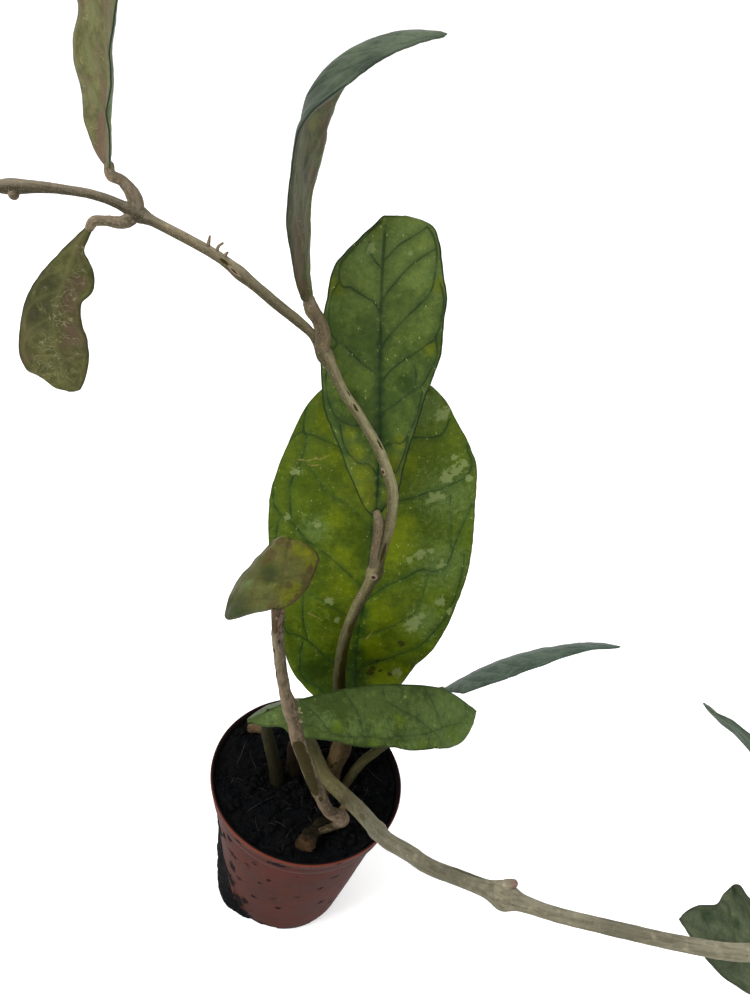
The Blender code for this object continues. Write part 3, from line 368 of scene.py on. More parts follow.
LEAVES = [
    Leaf(
        name="leaf_1",
        midrib=[
            (10.0, 14.0, 66.0), (9.5, 19.0, 67.8), (8.2, 23.5, 73.5), (5.5, 27.0, 87.0),
            (4.0, 29.0, 106.0), (2.0, 31.5, 123.5), (-1.0, 34.0, 139.5), (-4.0, 36.0, 154.5),
            (-7.0, 38.0, 169.0), (-8.5, 39.0, 176.5),
        ],
        facing=[(0.0, (0.1, -0.4, 0.9)), (0.1, (0.1, -1.0, 0.3)), (1.0, (0.1, -1.0, 0.2))],
        widths=(
            (0.9, 3.6, 7.6, 12.0, 17.7, 21.8, 24.4, 27.4, 29.2, 30.3, 30.5, 29.9, 27.6, 24.2,
             21.0, 17.3, 12.2, 5.9, 0.15),
            (0.9, 3.3, 6.8, 10.7, 14.7, 18.9, 23.1, 26.2, 28.7, 29.9, 30.1, 30.1, 29.7, 27.1,
             23.0, 19.5, 15.0, 6.9, 0.15),
        ),
        rise=[(0.0, 6.0, 12.0), (0.5, 4.0, 4.0), (1.0, 2.0, 2.0)],
        ripple=1.0,
        spacing=0.5,
        veins=[
            [(0.42, 0.0), (0.46, -0.17), (0.52, -0.43), (0.575, -0.66), (0.62, -0.78),
             (0.64, -0.88), (0.675, -0.96), (0.71, -0.98)],
            [(0.63, -0.78), (0.68, -0.8), (0.725, -0.82), (0.77, -0.78), (0.83, -0.8),
             (0.855, -0.88)],
            [(0.75, 0.0), (0.8, -0.25), (0.82, -0.43), (0.845, -0.73), (0.86, -0.88),
             (0.91, -0.97)],
            [(0.15, 0.0), (0.19, -0.37), (0.215, -0.5), (0.245, -0.65), (0.26, -0.8),
             (0.275, -0.92), (0.34, -0.95), (0.45, -0.93), (0.56, -0.93), (0.62, -0.9)],
            [(0.245, -0.65), (0.285, -0.67), (0.34, -0.67), (0.405, -0.65), (0.5, -0.6),
             (0.56, -0.63)],
            [(0.05, -0.2), (0.1, -0.72), (0.145, -0.88), (0.18, -0.83), (0.24, -0.72)],
            [(0.65, 0.0), (0.67, 0.12), (0.68, 0.28), (0.69, 0.4), (0.705, 0.55), (0.715, 0.68),
             (0.735, 0.82), (0.755, 0.92), (0.795, 0.96), (0.83, 0.97)],
            [(0.78, 0.0), (0.83, 0.25), (0.845, 0.47), (0.845, 0.6), (0.855, 0.75), (0.89, 0.92)],
            [(0.38, 0.0), (0.42, 0.12), (0.445, 0.23), (0.47, 0.37), (0.5, 0.53), (0.5, 0.68),
             (0.52, 0.78), (0.545, 0.8), (0.6, 0.86), (0.67, 0.97)],
            [(0.14, 0.0), (0.165, 0.1), (0.185, 0.27), (0.21, 0.52), (0.24, 0.68), (0.275, 0.82),
             (0.33, 0.88), (0.39, 0.95), (0.46, 0.95), (0.55, 0.93)],
        ],
        faint=[
            [(0.63, -0.88), (0.595, -0.99)], [(0.855, -0.88), (0.845, -0.95), (0.83, -0.99)],
            [(0.6, 0.0), (0.66, -0.22), (0.7, -0.45), (0.75, -0.62), (0.78, -0.76)],
            [(0.31, 0.0), (0.345, -0.25), (0.38, -0.45), (0.405, -0.65)],
            [(0.7, 0.75), (0.63, 0.77), (0.59, 0.78), (0.545, 0.8)],
            [(0.26, 0.0), (0.3, 0.25), (0.34, 0.45), (0.4, 0.6), (0.49, 0.6)],
            [(0.88, 0.0), (0.915, 0.18), (0.93, 0.38), (0.96, 0.9)],
        ],
        marks={
            "pale": [
                (0.745, 0.71, 3.4), (0.765, 0.8, 3.0), (0.785, 0.87, 2.2), (0.75, -0.8, 2.4),
                (0.61, -0.53, 2.2), (0.635, -0.82, 1.8), (0.555, 0.6, 1.6), (0.745, 0.92, 2.0),
                (0.69, 0.58, 2.6), (0.905, 0.87, 3.4), (0.415, 0.82, 2.9), (0.34, 0.6, 3.4),
                (0.355, 0.62, 3.0), (0.37, 0.66, 1.9), (0.54, 0.5, 2.6), (0.52, 0.72, 2.0),
                (0.525, 0.4, 2.0), (0.38, -0.38, 2.6), (0.32, -0.28, 1.8), (0.165, 0.75, 3.0),
                (0.695, 0.66, 2.2), (0.39, 0.95, 1.6), (0.8, 0.8, 1.6),
            ],
            "brown": [
                (0.275, 0.58, 1.9), (0.215, 0.02, 1.5), (0.155, 0.28, 1.8), (0.195, 0.35, 1.3),
                (0.155, 0.65, 1.2), (0.155, 0.05, 1.2), (0.13, -0.75, 0.8), (0.17, 0.31, 1.6),
                (0.165, 0.45, 1.1),
            ],
            "yellow": [
                (0.12, 0.5, 6.0), (0.17, 0.75, 6.0), (0.55, 0.2, 9.0), (0.44, -0.24, 8.0),
                (0.36, 0.23, 8.5), (0.51, -0.28, 7.0), (0.24, 0.22, 7.0), (0.15, 0.55, 8.0),
                (0.145, 0.85, 8.0), (0.615, 0.32, 6.0),
                (0.625, -0.37, 6.0), (0.735, -0.05, 8.0), (0.78, 0.3, 6.0), (0.8, -0.35, 7.0),
                (0.89, -0.55, 7.0),
            ],
            # The large marks near the base are painted shadow.
            "dark": [
                (0.03, 0.0, 10.0), (0.1, -0.3, 13.0), (0.18, -0.12, 8.0), (0.06, -0.8, 8.0),
                (0.16, -0.6, 9.0), (0.14, 0.02, 6.0), (0.22, 0.03, 4.5), (0.29, 0.02, 4.0),
                (0.35, 0.01, 3.5), (0.41, 0.0, 3.0), (0.1, 0.25, 5.0),
            ],
            # Lighter patches, partly painted sheen: they brighten the right of the blade.
            "haze": [
                (0.7, 0.75, 16.0), (0.92, 0.62, 12.0), (0.52, 0.72, 14.0), (0.6, -0.55, 8.0),
                (0.36, 0.7, 9.0),
            ],
        },
        scratches=[
            [(0.783, -0.82), (0.779, -0.72), (0.786, -0.62)],
            [(0.79, -0.64), (0.784, -0.58), (0.797, -0.49)],
            [(0.768, -0.66), (0.771, -0.58)], [(0.265, 0.12), (0.3, 0.17)],
            [(0.335, -0.62), (0.315, -0.45)], [(0.36, -0.5), (0.33, -0.36)],
        ],
        look=Look(
            deep=(0.04, 0.063, 0.001), light=(0.058, 0.086, 0.003), tip=(0.056, 0.08, 0.005),
            patch=(0.088, 0.116, 0.0004), vein=(0.006, 0.02, 0.004), dust=1.0, veins=0.75,
            rim=0.35,
        ),
    ),
    Leaf(
        name="leaf_2",
        midrib=[
            (1.1, 22.6, 142.2), (-1.0, 26.0, 153.0), (-3.0, 29.0, 162.0), (-5.5, 32.0, 172.5),
            (-8.0, 34.5, 182.5), (-10.0, 36.5, 192.0), (-12.0, 38.0, 201.5),
            (-13.5, 39.5, 210.5), (-14.4, 40.4, 216.0),
        ],
        facing=[(0.0, (0.1, -1.0, 0.3)), (1.0, (0.1, -1.0, 0.2))],
        widths=(
            (0.9, 2.0, 3.6, 5.2, 7.0, 9.2, 11.2, 13.5, 15.3, 15.6, 15.5, 15.0, 13.8, 12.6, 9.4,
             5.8, 2.9, 1.2, 0.15),
            (0.9, 1.3, 2.2, 5.3, 6.2, 6.9, 8.2, 10.1, 11.9, 14.3, 16.0, 16.3, 16.7, 15.5, 14.6,
             13.6, 12.3, 9.2, 0.15),
        ),
        rise=[(0.0, 14.0, 14.0), (1.0, 3.0, 3.0)],
        ripple=0.8,
        spacing=0.36,
        veins=[
            [(0.69, 0.0), (0.73, -0.1), (0.75, -0.27), (0.78, -0.57), (0.81, -0.83),
             (0.87, -0.9), (0.93, -0.85), (0.98, -0.5)],
            [(0.49, 0.0), (0.535, -0.28), (0.565, -0.45), (0.595, -0.6), (0.61, -0.74),
             (0.66, -0.88), (0.74, -0.92), (0.8, -0.82)],
            [(0.3, 0.0), (0.325, -0.32), (0.335, -0.67), (0.38, -0.86), (0.46, -0.92),
             (0.54, -0.88), (0.6, -0.72)],
            [(0.14, 0.0), (0.185, -0.28), (0.205, -0.68), (0.26, -0.85), (0.33, -0.8)],
            [(0.84, 0.0), (0.88, -0.3), (0.92, -0.55)],
            [(0.73, 0.0), (0.765, 0.08), (0.8, 0.22), (0.84, 0.38), (0.87, 0.55), (0.89, 0.7),
             (0.91, 0.88)],
            [(0.86, 0.0), (0.91, 0.23), (0.945, 0.53), (0.975, 0.85)],
            [(0.575, 0.0), (0.61, 0.08), (0.65, 0.23), (0.695, 0.42), (0.73, 0.58), (0.765, 0.72),
             (0.795, 0.8), (0.845, 0.87), (0.9, 0.92), (0.94, 0.92), (0.975, 0.85)],
            [(0.46, 0.0), (0.495, 0.12), (0.54, 0.35), (0.57, 0.55), (0.6, 0.73), (0.63, 0.88),
             (0.67, 0.94), (0.74, 0.95), (0.8, 0.92)],
            [(0.44, 0.72), (0.495, 0.67), (0.53, 0.6)],
            [(0.14, 0.1), (0.17, 0.47), (0.185, 0.8), (0.24, 0.88), (0.3, 0.83)],
            [(0.22, 0.0), (0.25, 0.17), (0.265, 0.47), (0.3, 0.83), (0.37, 0.92), (0.44, 0.9)],
            [(0.34, 0.0), (0.365, 0.08), (0.395, 0.32), (0.44, 0.65), (0.49, 0.88), (0.57, 0.93),
             (0.63, 0.88)],
        ],
        marks={
            "yellow": [
                (0.8, 0.92, 3.2), (0.96, -0.23, 4.5), (0.78, -0.87, 3.4), (0.59, 0.83, 3.4),
                (0.05, -0.5, 3.5), (0.1, -0.55, 4.5), (0.16, -0.55, 4.5), (0.23, -0.6, 4.0),
                (0.3, -0.66, 3.0), (0.08, 0.55, 3.5), (0.14, 0.55, 3.5), (0.2, 0.62, 3.5),
                (0.27, 0.66, 3.0),
            ],
            "pale": [(0.895, 0.47, 0.8), (0.9, -0.38, 2.0), (0.56, 0.03, 0.6)],
            "haze": [(0.94, 0.1, 9.0), (0.84, 0.75, 5.0), (0.88, -0.5, 6.0)],
            "dark": [
                (0.6, 0.0, 1.9), (0.56, 0.0, 1.9), (0.52, 0.0, 2.0), (0.48, 0.0, 2.0),
                (0.44, 0.0, 2.1), (0.4, 0.0, 2.1), (0.36, 0.0, 2.2), (0.32, 0.0, 2.2),
                (0.28, 0.0, 2.2), (0.24, 0.0, 2.0), (0.2, 0.0, 1.9), (0.16, 0.0, 1.8),
                (0.12, 0.0, 1.6), (0.08, 0.0, 1.5), (0.48, 0.45, 4.0), (0.42, -0.5, 4.0),
            ],
        },
        look=Look(
            deep=(0.034, 0.058, 0.009), light=(0.056, 0.086, 0.014), tip=(0.098, 0.132, 0.03),
            patch=(0.09, 0.108, 0.002), vein=(0.006, 0.015, 0.005), dust=1.0, veins=0.72,
            rim=0.9,
        ),
    ),
    Leaf(
        name="leaf_3",
        midrib=[
            (-27.0, 25.0, 196.3), (-29.1, 25.5, 201.0), (-31.2, 26.5, 209.5), (-33.3, 28.0, 216.5),
            (-34.4, 29.5, 222.5), (-35.4, 31.0, 228.5), (-36.4, 32.5, 233.5), (-36.2, 34.0, 237.5),
            (-34.8, 36.5, 241.5), (-32.5, 39.0, 245.0), (-29.5, 41.5, 248.0), (-26.0, 44.0, 250.5),
            (-21.5, 47.0, 252.8), (-16.0, 49.5, 254.3), (-10.0, 52.0, 255.0),
        ],
        facing=[
            (0.0, (-1.0, -0.07, 0.1)), (0.55, (-1.0, -0.07, 0.1)), (0.7, (-0.7, -0.1, 0.7)),
            (1.0, (-0.2, -0.1, 1.0)),
        ],
        widths=(
            (0.9, 1.8, 3.4, 5.5, 7.9, 10.2, 12.3, 14.1, 15.5, 16.2, 15.8, 15.0, 13.6, 11.4, 8.9,
             6.3, 3.7, 1.4, 0.15),
            (0.9, 3.5, 6.1, 8.4, 10.6, 12.5, 14.0, 15.1, 15.8, 16.0, 15.6, 14.4, 12.6, 10.2, 7.7,
             5.2, 2.9, 1.0, 0.15),
        ),
        rise=[
            (0.0, -21.0, 24.0), (0.04, -5.0, 9.0), (0.12, -2.0, 9.0), (0.2, -3.0, 12.0),
            (0.3, -5.0, 7.0), (0.4, -11.0, 3.0), (0.44, -14.0, 0.0), (0.48, -15.0, -9.0),
            (0.5, -15.0, -17.0), (0.52, -15.0, -24.0), (0.54, -15.0, -29.0), (0.56, -15.0, -30.0),
            (0.6, -18.0, -26.0), (0.66, -21.0, -20.0), (0.7, -22.0, -16.0), (0.8, -14.0, -14.0),
            (0.9, -6.0, -11.0), (1.0, -7.0, -10.0),
        ],
        ripple=0.0,
        evening=60,
        pairs=6,
        marks={
            "glow": [
                (0.03, -0.5, 4.0), (0.08, -0.7, 6.0), (0.15, -0.8, 6.0), (0.22, -0.8, 6.0),
                (0.29, -0.9, 5.0), (0.5, -0.35, 5.0),
            ],
            "blotch": [
                (0.05, 0.5, 6.0), (0.11, 0.6, 8.0), (0.18, 0.5, 7.0), (0.33, -0.6, 5.0),
                (0.48, -0.9, 5.0), (0.54, -0.9, 5.0),
            ],
            "dark": [
                (0.17, 0.95, 4.0), (0.25, 0.95, 5.0), (0.33, 0.95, 5.0), (0.41, 0.95, 5.0),
                (0.49, 0.8, 6.0), (0.02, 0.9, 2.5), (0.36, -0.2, 4.0),
            ],
            "pale": [(0.05, -0.2, 4.0), (0.2, 0.2, 4.0)],
        },
        # Only the tip's crescent shows the upper side, at a grazing angle: its bluish greens are
        # painted sheen.
        look=Look(
            deep=(0.02, 0.03, 0.017), light=(0.036, 0.05, 0.03), tip=(0.088, 0.116, 0.072),
            patch=(0.098, 0.112, 0.024), vein=(0.022, 0.032, 0.022), under=(0.074, 0.082, 0.034),
            under_blotch=(0.08, 0.05, 0.03), dust=0.3, veins=0.3,
        ),
    ),
    Leaf(
        name="leaf_4",
        midrib=[
            (-80.8, 35.4, 212.5), (-81.2, 35.2, 217.0), (-81.2, 36.0, 223.0),
            (-81.5, 37.0, 231.0), (-82.5, 38.0, 238.5), (-83.0, 38.5, 246.0),
            (-83.5, 39.5, 256.0), (-83.0, 41.0, 268.0), (-81.5, 43.0, 280.0),
            (-79.5, 44.5, 287.0),
        ],
        facing=[(0.0, (0.67, 0.74, 0.0)), (1.0, (0.67, 0.74, 0.1))],
        widths=(
            (0.9, 2.2, 4.2, 6.6, 9.0, 11.2, 13.2, 15.0, 15.9, 15.9, 16.0, 15.7, 14.7, 13.0, 10.9,
             8.3, 5.5, 2.5, 0.15),
            (0.9, 5.0, 6.6, 8.3, 11.8, 14.7, 16.9, 16.7, 15.2, 16.9, 16.9, 16.3, 15.0, 13.2,
             10.9, 8.3, 5.5, 2.5, 0.15),
        ),
        rise=[(0.0, -22.0, 0.0), (0.3, -22.0, 0.0), (0.4, -14.0, 0.0), (1.0, -14.0, 0.0)],
        ripples=4.5,
        evening=12,
        pairs=6,
        marks={
            "blotch": [(0.1, 0.1, 6.0), (0.22, 0.05, 5.0), (0.04, 0.5, 4.0)],
            "dark": [(0.0, 0.0, 3.5)],
            "glow": [(0.2, 0.5, 5.0), (0.3, 0.5, 6.0), (0.42, 0.5, 6.0)],
        },
        look=Look(
            patch=(0.106, 0.116, 0.04), under=(0.09, 0.088, 0.032),
            under_blotch=(0.094, 0.052, 0.034), rim=1.0,
        ),
    ),
    Leaf(
        name="leaf_5",
        midrib=[
            (-85.0, 34.0, 198.0), (-86.5, 33.5, 195.5), (-88.0, 33.0, 192.0),
            (-91.0, 32.5, 183.0), (-93.0, 32.0, 177.0), (-94.0, 32.0, 170.0),
            (-93.0, 32.0, 162.0), (-91.0, 32.0, 155.5), (-90.0, 32.0, 151.5),
        ],
        facing=[(0.0, (-0.1, 1.0, 0.0)), (1.0, (-0.2, 1.0, 0.0))],
        widths=(
            (0.9, 0.7, 0.9, 1.3, 2.1, 3.2, 4.6, 6.0, 7.0, 8.0, 9.0, 10.2, 10.9, 10.6, 8.2, 6.1,
             4.4, 1.7, 0.15),
            (0.9, 0.7, 1.0, 1.3, 1.4, 3.6, 5.9, 6.9, 5.7, 6.1, 7.0, 8.2, 8.0, 7.3, 6.0, 4.6, 3.5,
             2.5, 0.15),
        ),
        rise=[(0.0, 20.0, 20.0), (1.0, 5.0, 5.0)],
        spacing=0.32,
        pairs=5,
        marks={
            "blotch": [(0.6, 0.55, 5.0), (0.48, 0.6, 5.0), (0.33, 0.3, 4.0)],
            "pale": [
                (0.28, 0.3, 3.5), (0.38, 0.25, 4.0), (0.48, 0.25, 4.0), (0.58, 0.2, 4.5),
                (0.66, 0.1, 4.0), (0.74, -0.3, 5.0), (0.82, -0.5, 5.0), (0.88, -0.1, 4.0),
            ],
            "dark": [(0.55, -0.5, 7.0), (0.4, -0.6, 6.0)],
        },
        look=Look(under=(0.074, 0.075, 0.024), under_blotch=(0.076, 0.046, 0.03), rim=1.0),
    ),
    Leaf(
        name="leaf_6",
        midrib=[
            (-21.0, -4.5, 79.0), (-17.0, -3.0, 82.0), (-12.0, -1.0, 85.4), (-4.5, 1.5, 88.6),
            (5.0, 6.0, 90.7), (21.0, 12.0, 91.7), (35.0, 15.0, 90.7), (45.8, 14.1, 86.4),
        ],
        facing=[(0.0, (0.0, 0.0, 1.0)), (1.0, (0.1, 0.0, 1.0))],
        widths=(
            (0.9, 4.4, 5.7, 7.2, 8.6, 10.6, 13.3, 14.2, 14.8, 15.0, 14.7, 14.0, 12.8, 11.1, 9.2,
             7.4, 5.6, 3.6, 0.15),
            (0.9, 0.7, 2.2, 4.0, 5.6, 10.0, 11.9, 14.2, 16.4, 17.7, 18.4, 18.8, 18.7, 18.5, 17.9,
             16.2, 13.4, 9.8, 0.15),
        ),
        rise=[(0.0, -35.0, -12.0), (0.3, -55.0, -17.0), (0.5, -70.0, -20.0), (1.0, -50.0, -15.0)],
        ripple=0.6,
        stalk_at=0.09,
        spacing=0.36,
        veins=[
            [(0.16, 0.3), (0.195, 0.6), (0.26, 0.7), (0.305, 0.84), (0.365, 0.86),
             (0.44, 0.83), (0.53, 0.87), (0.65, 0.8), (0.735, 0.77), (0.85, 0.66), (0.96, 0.43)],
            [(0.56, 0.0), (0.6, 0.35), (0.64, 0.42), (0.685, 0.5), (0.765, 0.7), (0.905, 0.93)],
            [(0.93, 0.0), (0.96, 0.23), (0.945, 0.42), (0.93, 0.6)],
            [(0.4, 0.0), (0.445, 0.48), (0.45, 0.62), (0.44, 0.83)],
            [(0.22, 0.0), (0.28, 0.47), (0.31, 0.84)],
            [(0.74, 0.0), (0.8, 0.4), (0.85, 0.66)],
            [(0.3, 0.0), (0.38, -0.4), (0.44, -0.8)],
            [(0.5, 0.0), (0.58, -0.4), (0.64, -0.8)],
            [(0.7, 0.0), (0.78, -0.4), (0.84, -0.8)],
        ],
        marks={
            "yellow": [
                (0.93, 0.67, 4.5), (0.49, 0.93, 3.0), (0.34, 0.68, 3.0), (0.52, 0.78, 2.5),
                (0.62, 0.6, 3.0), (0.72, 0.92, 3.5), (0.82, 0.9, 3.0),
            ],
            "pale": [
                (0.655, 0.2, 0.6), (0.605, 0.4, 0.5), (0.215, 0.25, 1.3), (0.795, 0.65, 0.6),
            ],
            "haze": [
                (0.1, 0.2, 5.0), (0.95, 0.5, 9.0), (0.82, 0.75, 8.0), (0.68, 0.8, 8.0),
                (0.54, 0.75, 7.0), (0.42, 0.7, 6.0), (0.3, 0.6, 5.0),
            ],
        },
        look=Look(
            deep=(0.028, 0.044, 0.007), light=(0.044, 0.066, 0.013), tip=(0.074, 0.112, 0.032),
            patch=(0.06, 0.092, 0.006), vein=(0.008, 0.018, 0.005), dust=0.5, veins=0.45,
        ),
    ),
    Leaf(
        name="leaf_7",
        midrib=[
            (35.6, 25.7, 79.0), (45.5, 28.0, 89.5), (56.5, 30.5, 97.5), (67.5, 32.0, 103.7),
            (78.0, 33.5, 107.5), (85.5, 34.0, 108.5),
        ],
        facing=[(0.0, (-0.5, -0.1, 1.0)), (1.0, (-0.1, -0.1, 1.0))],
        widths=(
            (0.9, 2.1, 3.9, 6.0, 8.1, 10.0, 11.6, 12.6, 13.0, 12.8, 12.1, 10.9, 9.4, 7.6, 5.8,
             4.0, 2.3, 0.8, 0.15),
            (0.9, 1.2, 2.4, 4.6, 7.8, 10.8, 11.8, 11.7, 11.9, 11.3, 10.1, 7.3, 5.7, 4.6, 3.6,
             2.6, 1.3, 0.5, 0.15),
        ),
        rise=[(0.0, -45.0, 28.0), (1.0, -45.0, 30.0)],
        ripple=0.1,
        pairs=7,
        # Seen at a grazing angle: its bluish greens are painted sheen.
        look=Look(
            deep=(0.036, 0.055, 0.038), light=(0.056, 0.08, 0.056), tip=(0.09, 0.115, 0.096),
            patch=(0.055, 0.08, 0.04), vein=(0.018, 0.032, 0.022), dust=0.2, veins=0.3,
        ),
    ),
    Leaf(
        name="leaf_8",
        midrib=[
            (-15.0, -28.5, 147.5), (-15.5, -25.0, 150.0), (-16.0, -20.5, 152.5),
            (-16.5, -17.0, 155.0), (-16.5, -15.0, 156.5),
        ],
        facing=[(0.0, (0.0, -0.5, 1.0)), (1.0, (0.0, -0.5, 1.0))],
        widths=(
            (0.9, 2.8, 5.6, 9.4, 11.6, 12.3, 12.2, 12.0, 11.8, 11.3, 9.9, 8.2, 7.4, 6.0, 4.9,
             4.3, 3.6, 3.0, 0.15),
            (0.9, 0.8, 1.4, 2.4, 3.3, 4.1, 4.8, 5.4, 6.0, 6.4, 6.8, 7.1, 7.4, 7.1, 6.8, 6.0, 4.9,
             3.5, 0.15),
        ),
        rise=[(0.0, -12.0, 0.0), (0.3, 0.0, 0.0), (1.0, 5.0, 5.0)],
        curl=(11.0, 2.5),
        sweep=0.42,
        ripple=0.5,
        stalk_at=0.05,
        spacing=0.24,
        pairs=3,
        marks={
            "brown": [
                (0.6, 0.85, 1.7), (0.5, 0.7, 1.3), (0.46, 0.92, 1.3), (0.33, 0.3, 1.2),
                (0.92, -0.4, 1.6), (0.75, -0.45, 1.9), (0.66, -0.5, 1.4), (0.2, 0.98, 1.6),
                (0.3, 0.98, 1.3), (0.1, 0.9, 1.4), (0.72, 0.98, 1.2), (0.9, 0.0, 1.4),
                (0.02, -0.3, 1.5),
            ],
            "yellow": [
                (0.72, 0.85, 3.4), (0.86, 0.6, 3.0), (0.18, 0.4, 3.0), (0.27, 0.6, 3.0),
                (0.88, 0.3, 2.4),
            ],
            # The two marks on the left lobe are painted shade.
            "dark": [(0.08, -0.98, 6.0), (0.2, -1.0, 6.0), (0.45, -0.25, 3.0)],
            "haze": [(0.4, -0.6, 2.0)],
        },
        look=Look(
            deep=(0.046, 0.05, 0.01), light=(0.062, 0.066, 0.016), tip=(0.064, 0.062, 0.01),
            patch=(0.09, 0.098, 0.002), vein=(0.034, 0.024, 0.008), spot=(0.046, 0.032, 0.01),
            dust=0.0, veins=0.25, rim=1.0,
        ),
    ),
    Leaf(
        name="leaf_9",
        midrib=[
            (101.3, -52.5, 126.5), (101.0, -49.0, 132.0), (99.0, -43.0, 139.5),
            (96.3, -36.0, 142.5), (94.0, -29.0, 141.0), (93.0, -22.0, 138.5),
            (92.0, -15.0, 135.2), (91.5, -9.0, 133.0),
        ],
        facing=[
            (0.0, (0.87, -0.4, 0.3)), (0.45, (0.76, 0.02, 0.63)), (0.8, (0.48, 0.4, 0.78)),
            (1.0, (0.4, 0.45, 0.8)),
        ],
        widths=(
            (0.9, 1.6, 3.1, 4.9, 6.8, 8.6, 10.2, 11.3, 11.9, 10.6, 8.4, 7.2, 6.6, 6.2, 5.2, 3.5,
             1.9, 0.8, 0.15),
            (0.9, 1.6, 3.1, 4.9, 6.8, 8.6, 10.2, 11.3, 11.9, 11.9, 11.3, 10.1, 8.5, 6.9, 5.3,
             3.8, 2.2, 0.9, 0.15),
        ),
        pairs=5,
        look=Look(
            deep=(0.022, 0.042, 0.02), light=(0.04, 0.066, 0.032), tip=(0.04, 0.066, 0.032),
            under=(0.048, 0.076, 0.046), under_blotch=(0.05, 0.056, 0.04), veins=0.4,
        ),
    ),
    Leaf(
        name="leaf_10",
        midrib=[
            (104.5, -58.0, 113.0), (100.0, -57.5, 112.8), (95.5, -57.0, 112.8),
            (89.5, -55.5, 113.0), (84.0, -54.0, 113.0),
        ],
        facing=[(0.0, (0.0, -0.3, 1.0)), (1.0, (0.0, -0.3, 1.0))],
        widths=(
            (0.9, 3.2, 5.3, 6.9, 7.6, 7.6, 7.5, 7.4, 6.9, 6.3, 5.6, 4.9, 3.8, 2.7, 1.9, 1.2, 0.7,
             0.2, 0.15),
            (0.9, 2.6, 4.7, 6.8, 8.9, 10.7, 12.0, 13.8, 13.4, 12.4, 10.2, 6.8, 5.8, 5.0, 3.9,
             2.7, 1.5, 0.3, 0.15),
        ),
        rise=[(0.0, -5.0, -5.0)],
        ripple=0.4,
        spacing=0.26,
        pairs=3,
        marks={
            "dark": [
                (0.75, 0.55, 2.2), (0.42, 0.92, 2.2), (0.42, 0.35, 1.8), (0.2, -0.5, 2.2),
            ],
        },
        look=Look(
            deep=(0.052, 0.066, 0.036), light=(0.082, 0.1, 0.056), tip=(0.062, 0.076, 0.044),
            patch=(0.085, 0.062, 0.045), vein=(0.022, 0.028, 0.016), dust=0.2, veins=0.35,
        ),
    ),
]
BLADES = {leaf.name: leaf for leaf in LEAVES}


# Settings

def size_setting(name, description, default):
    return FloatProperty(name=name, description=description, default=default, unit="LENGTH")


def colour_setting(name, description, default):
    return FloatVectorProperty(
        name=name, description=description, default=default, size=3, subtype="COLOR", min=0.0,
        max=1.0)


class PotSettings(bpy.types.PropertyGroup):
    rim_radius: size_setting("Rim radius", "Outer radius of the rim", 0.030)
    height: size_setting("Height", "Height of the pot", 0.056)
    base_radius: size_setting("Base radius", "Outer radius of the foot", 0.0208)
    wall: size_setting("Wall", "Thickness of the wall", 0.001)
    plastic: colour_setting("Plastic", "Colour of the wall", (0.041, 0.0085, 0.0048))
    # The rim colour is a painted highlight along the rim's top edge.
    rim: colour_setting("Rim", "Colour of the rim's edge", (0.105, 0.026, 0.015))
    dirt: colour_setting("Dirt", "Colour of the dried dirt", (0.0035, 0.0030, 0.0035))


class SoilSettings(bpy.types.PropertyGroup):
    level: size_setting("Level", "Height of the soil's surface", 0.0532)
    # Near-black: the peat's own colour with painted shade, as the soil lies deep in the pot.
    peat: colour_setting("Peat", "Colour of the peat", (0.0022, 0.0024, 0.0027))
    fibre: colour_setting("Fibres", "Colour of the root fibres", (0.030, 0.022, 0.014))
    crumbs: IntProperty(
        name="Crumbs", description="Crumbs lying on the surface", default=460, min=0)
    fibres: IntProperty(
        name="Fibres", description="Fibres lying on the surface", default=70, min=0)


class VineSettings(bpy.types.PropertyGroup):
    young: colour_setting("Young bark", "Colour of green stretches", (0.052, 0.046, 0.018))
    wood: colour_setting("Wood", "Colour of old wood", (0.100, 0.066, 0.034))
    scar: colour_setting("Specks", "Colour of pores and specks", (0.018, 0.013, 0.006))
    blotch: colour_setting("Blotches", "Colour of dark patches", (0.019, 0.015, 0.001))


class LeafSettings(bpy.types.PropertyGroup):
    thickness: size_setting("Thickness", "Thickness of a blade", 0.0009)
    vein_width: size_setting("Vein width", "Width of a side vein", 0.0007)
    mineral: colour_setting("Deposit", "Colour of dried water marks", (0.125, 0.155, 0.055))
    blemish: colour_setting("Blemish", "Colour of brown spots", (0.016, 0.011, 0.002))


class StageSettings(bpy.types.PropertyGroup):
    floor: colour_setting("Floor", "Colour of the floor and backdrop", (0.90, 0.90, 0.90))
    reach: size_setting("Reach", "Radius of the floor", 2.6)
    sky: FloatProperty(
        name="Sky", description="Strength of the light from all round", default=0.36)
    pitch: FloatProperty(
        name="Pitch", description="How far the camera looks down", default=math.radians(33.49),
        subtype="ANGLE")
    roll: FloatProperty(
        name="Roll", description="How far the camera is tilted", default=math.radians(14.01),
        subtype="ANGLE")
    camera: FloatVectorProperty(
        name="Camera", description="Where the camera stands", default=(-0.0003, -0.1481, 0.2600),
        size=3, subtype="TRANSLATION")
    lens: FloatProperty(
        name="Lens", description="Focal length, in millimetres", default=27.04)


# Small tools

def deselect():
    if bpy.context.mode != "OBJECT":
        bpy.ops.object.mode_set(mode="OBJECT")
    bpy.ops.object.select_all(action="DESELECT")


def take(thing):
    """Make one object the selected and active one."""
    deselect()
    thing.select_set(True)
    bpy.context.view_layer.objects.active = thing


def apply_modifier(thing, kind, **settings):
    take(thing)
    modifier = thing.modifiers.new(kind, kind)
    for setting, value in settings.items():
        setattr(modifier, setting, value)
    bpy.ops.object.modifier_apply(modifier=modifier.name)


@contextmanager
def editing(thing):
    """Work on the whole of one mesh in edit mode."""
    take(thing)
    bpy.ops.object.mode_set(mode="EDIT")
    bpy.ops.mesh.select_all(action="SELECT")
    yield
    bpy.ops.object.mode_set(mode="OBJECT")


def weld(thing, distance=0.002):
    """Merge vertices that lie closer than a distance in millimetres."""
    with editing(thing):
        bpy.ops.mesh.remove_doubles(threshold=distance * MM)


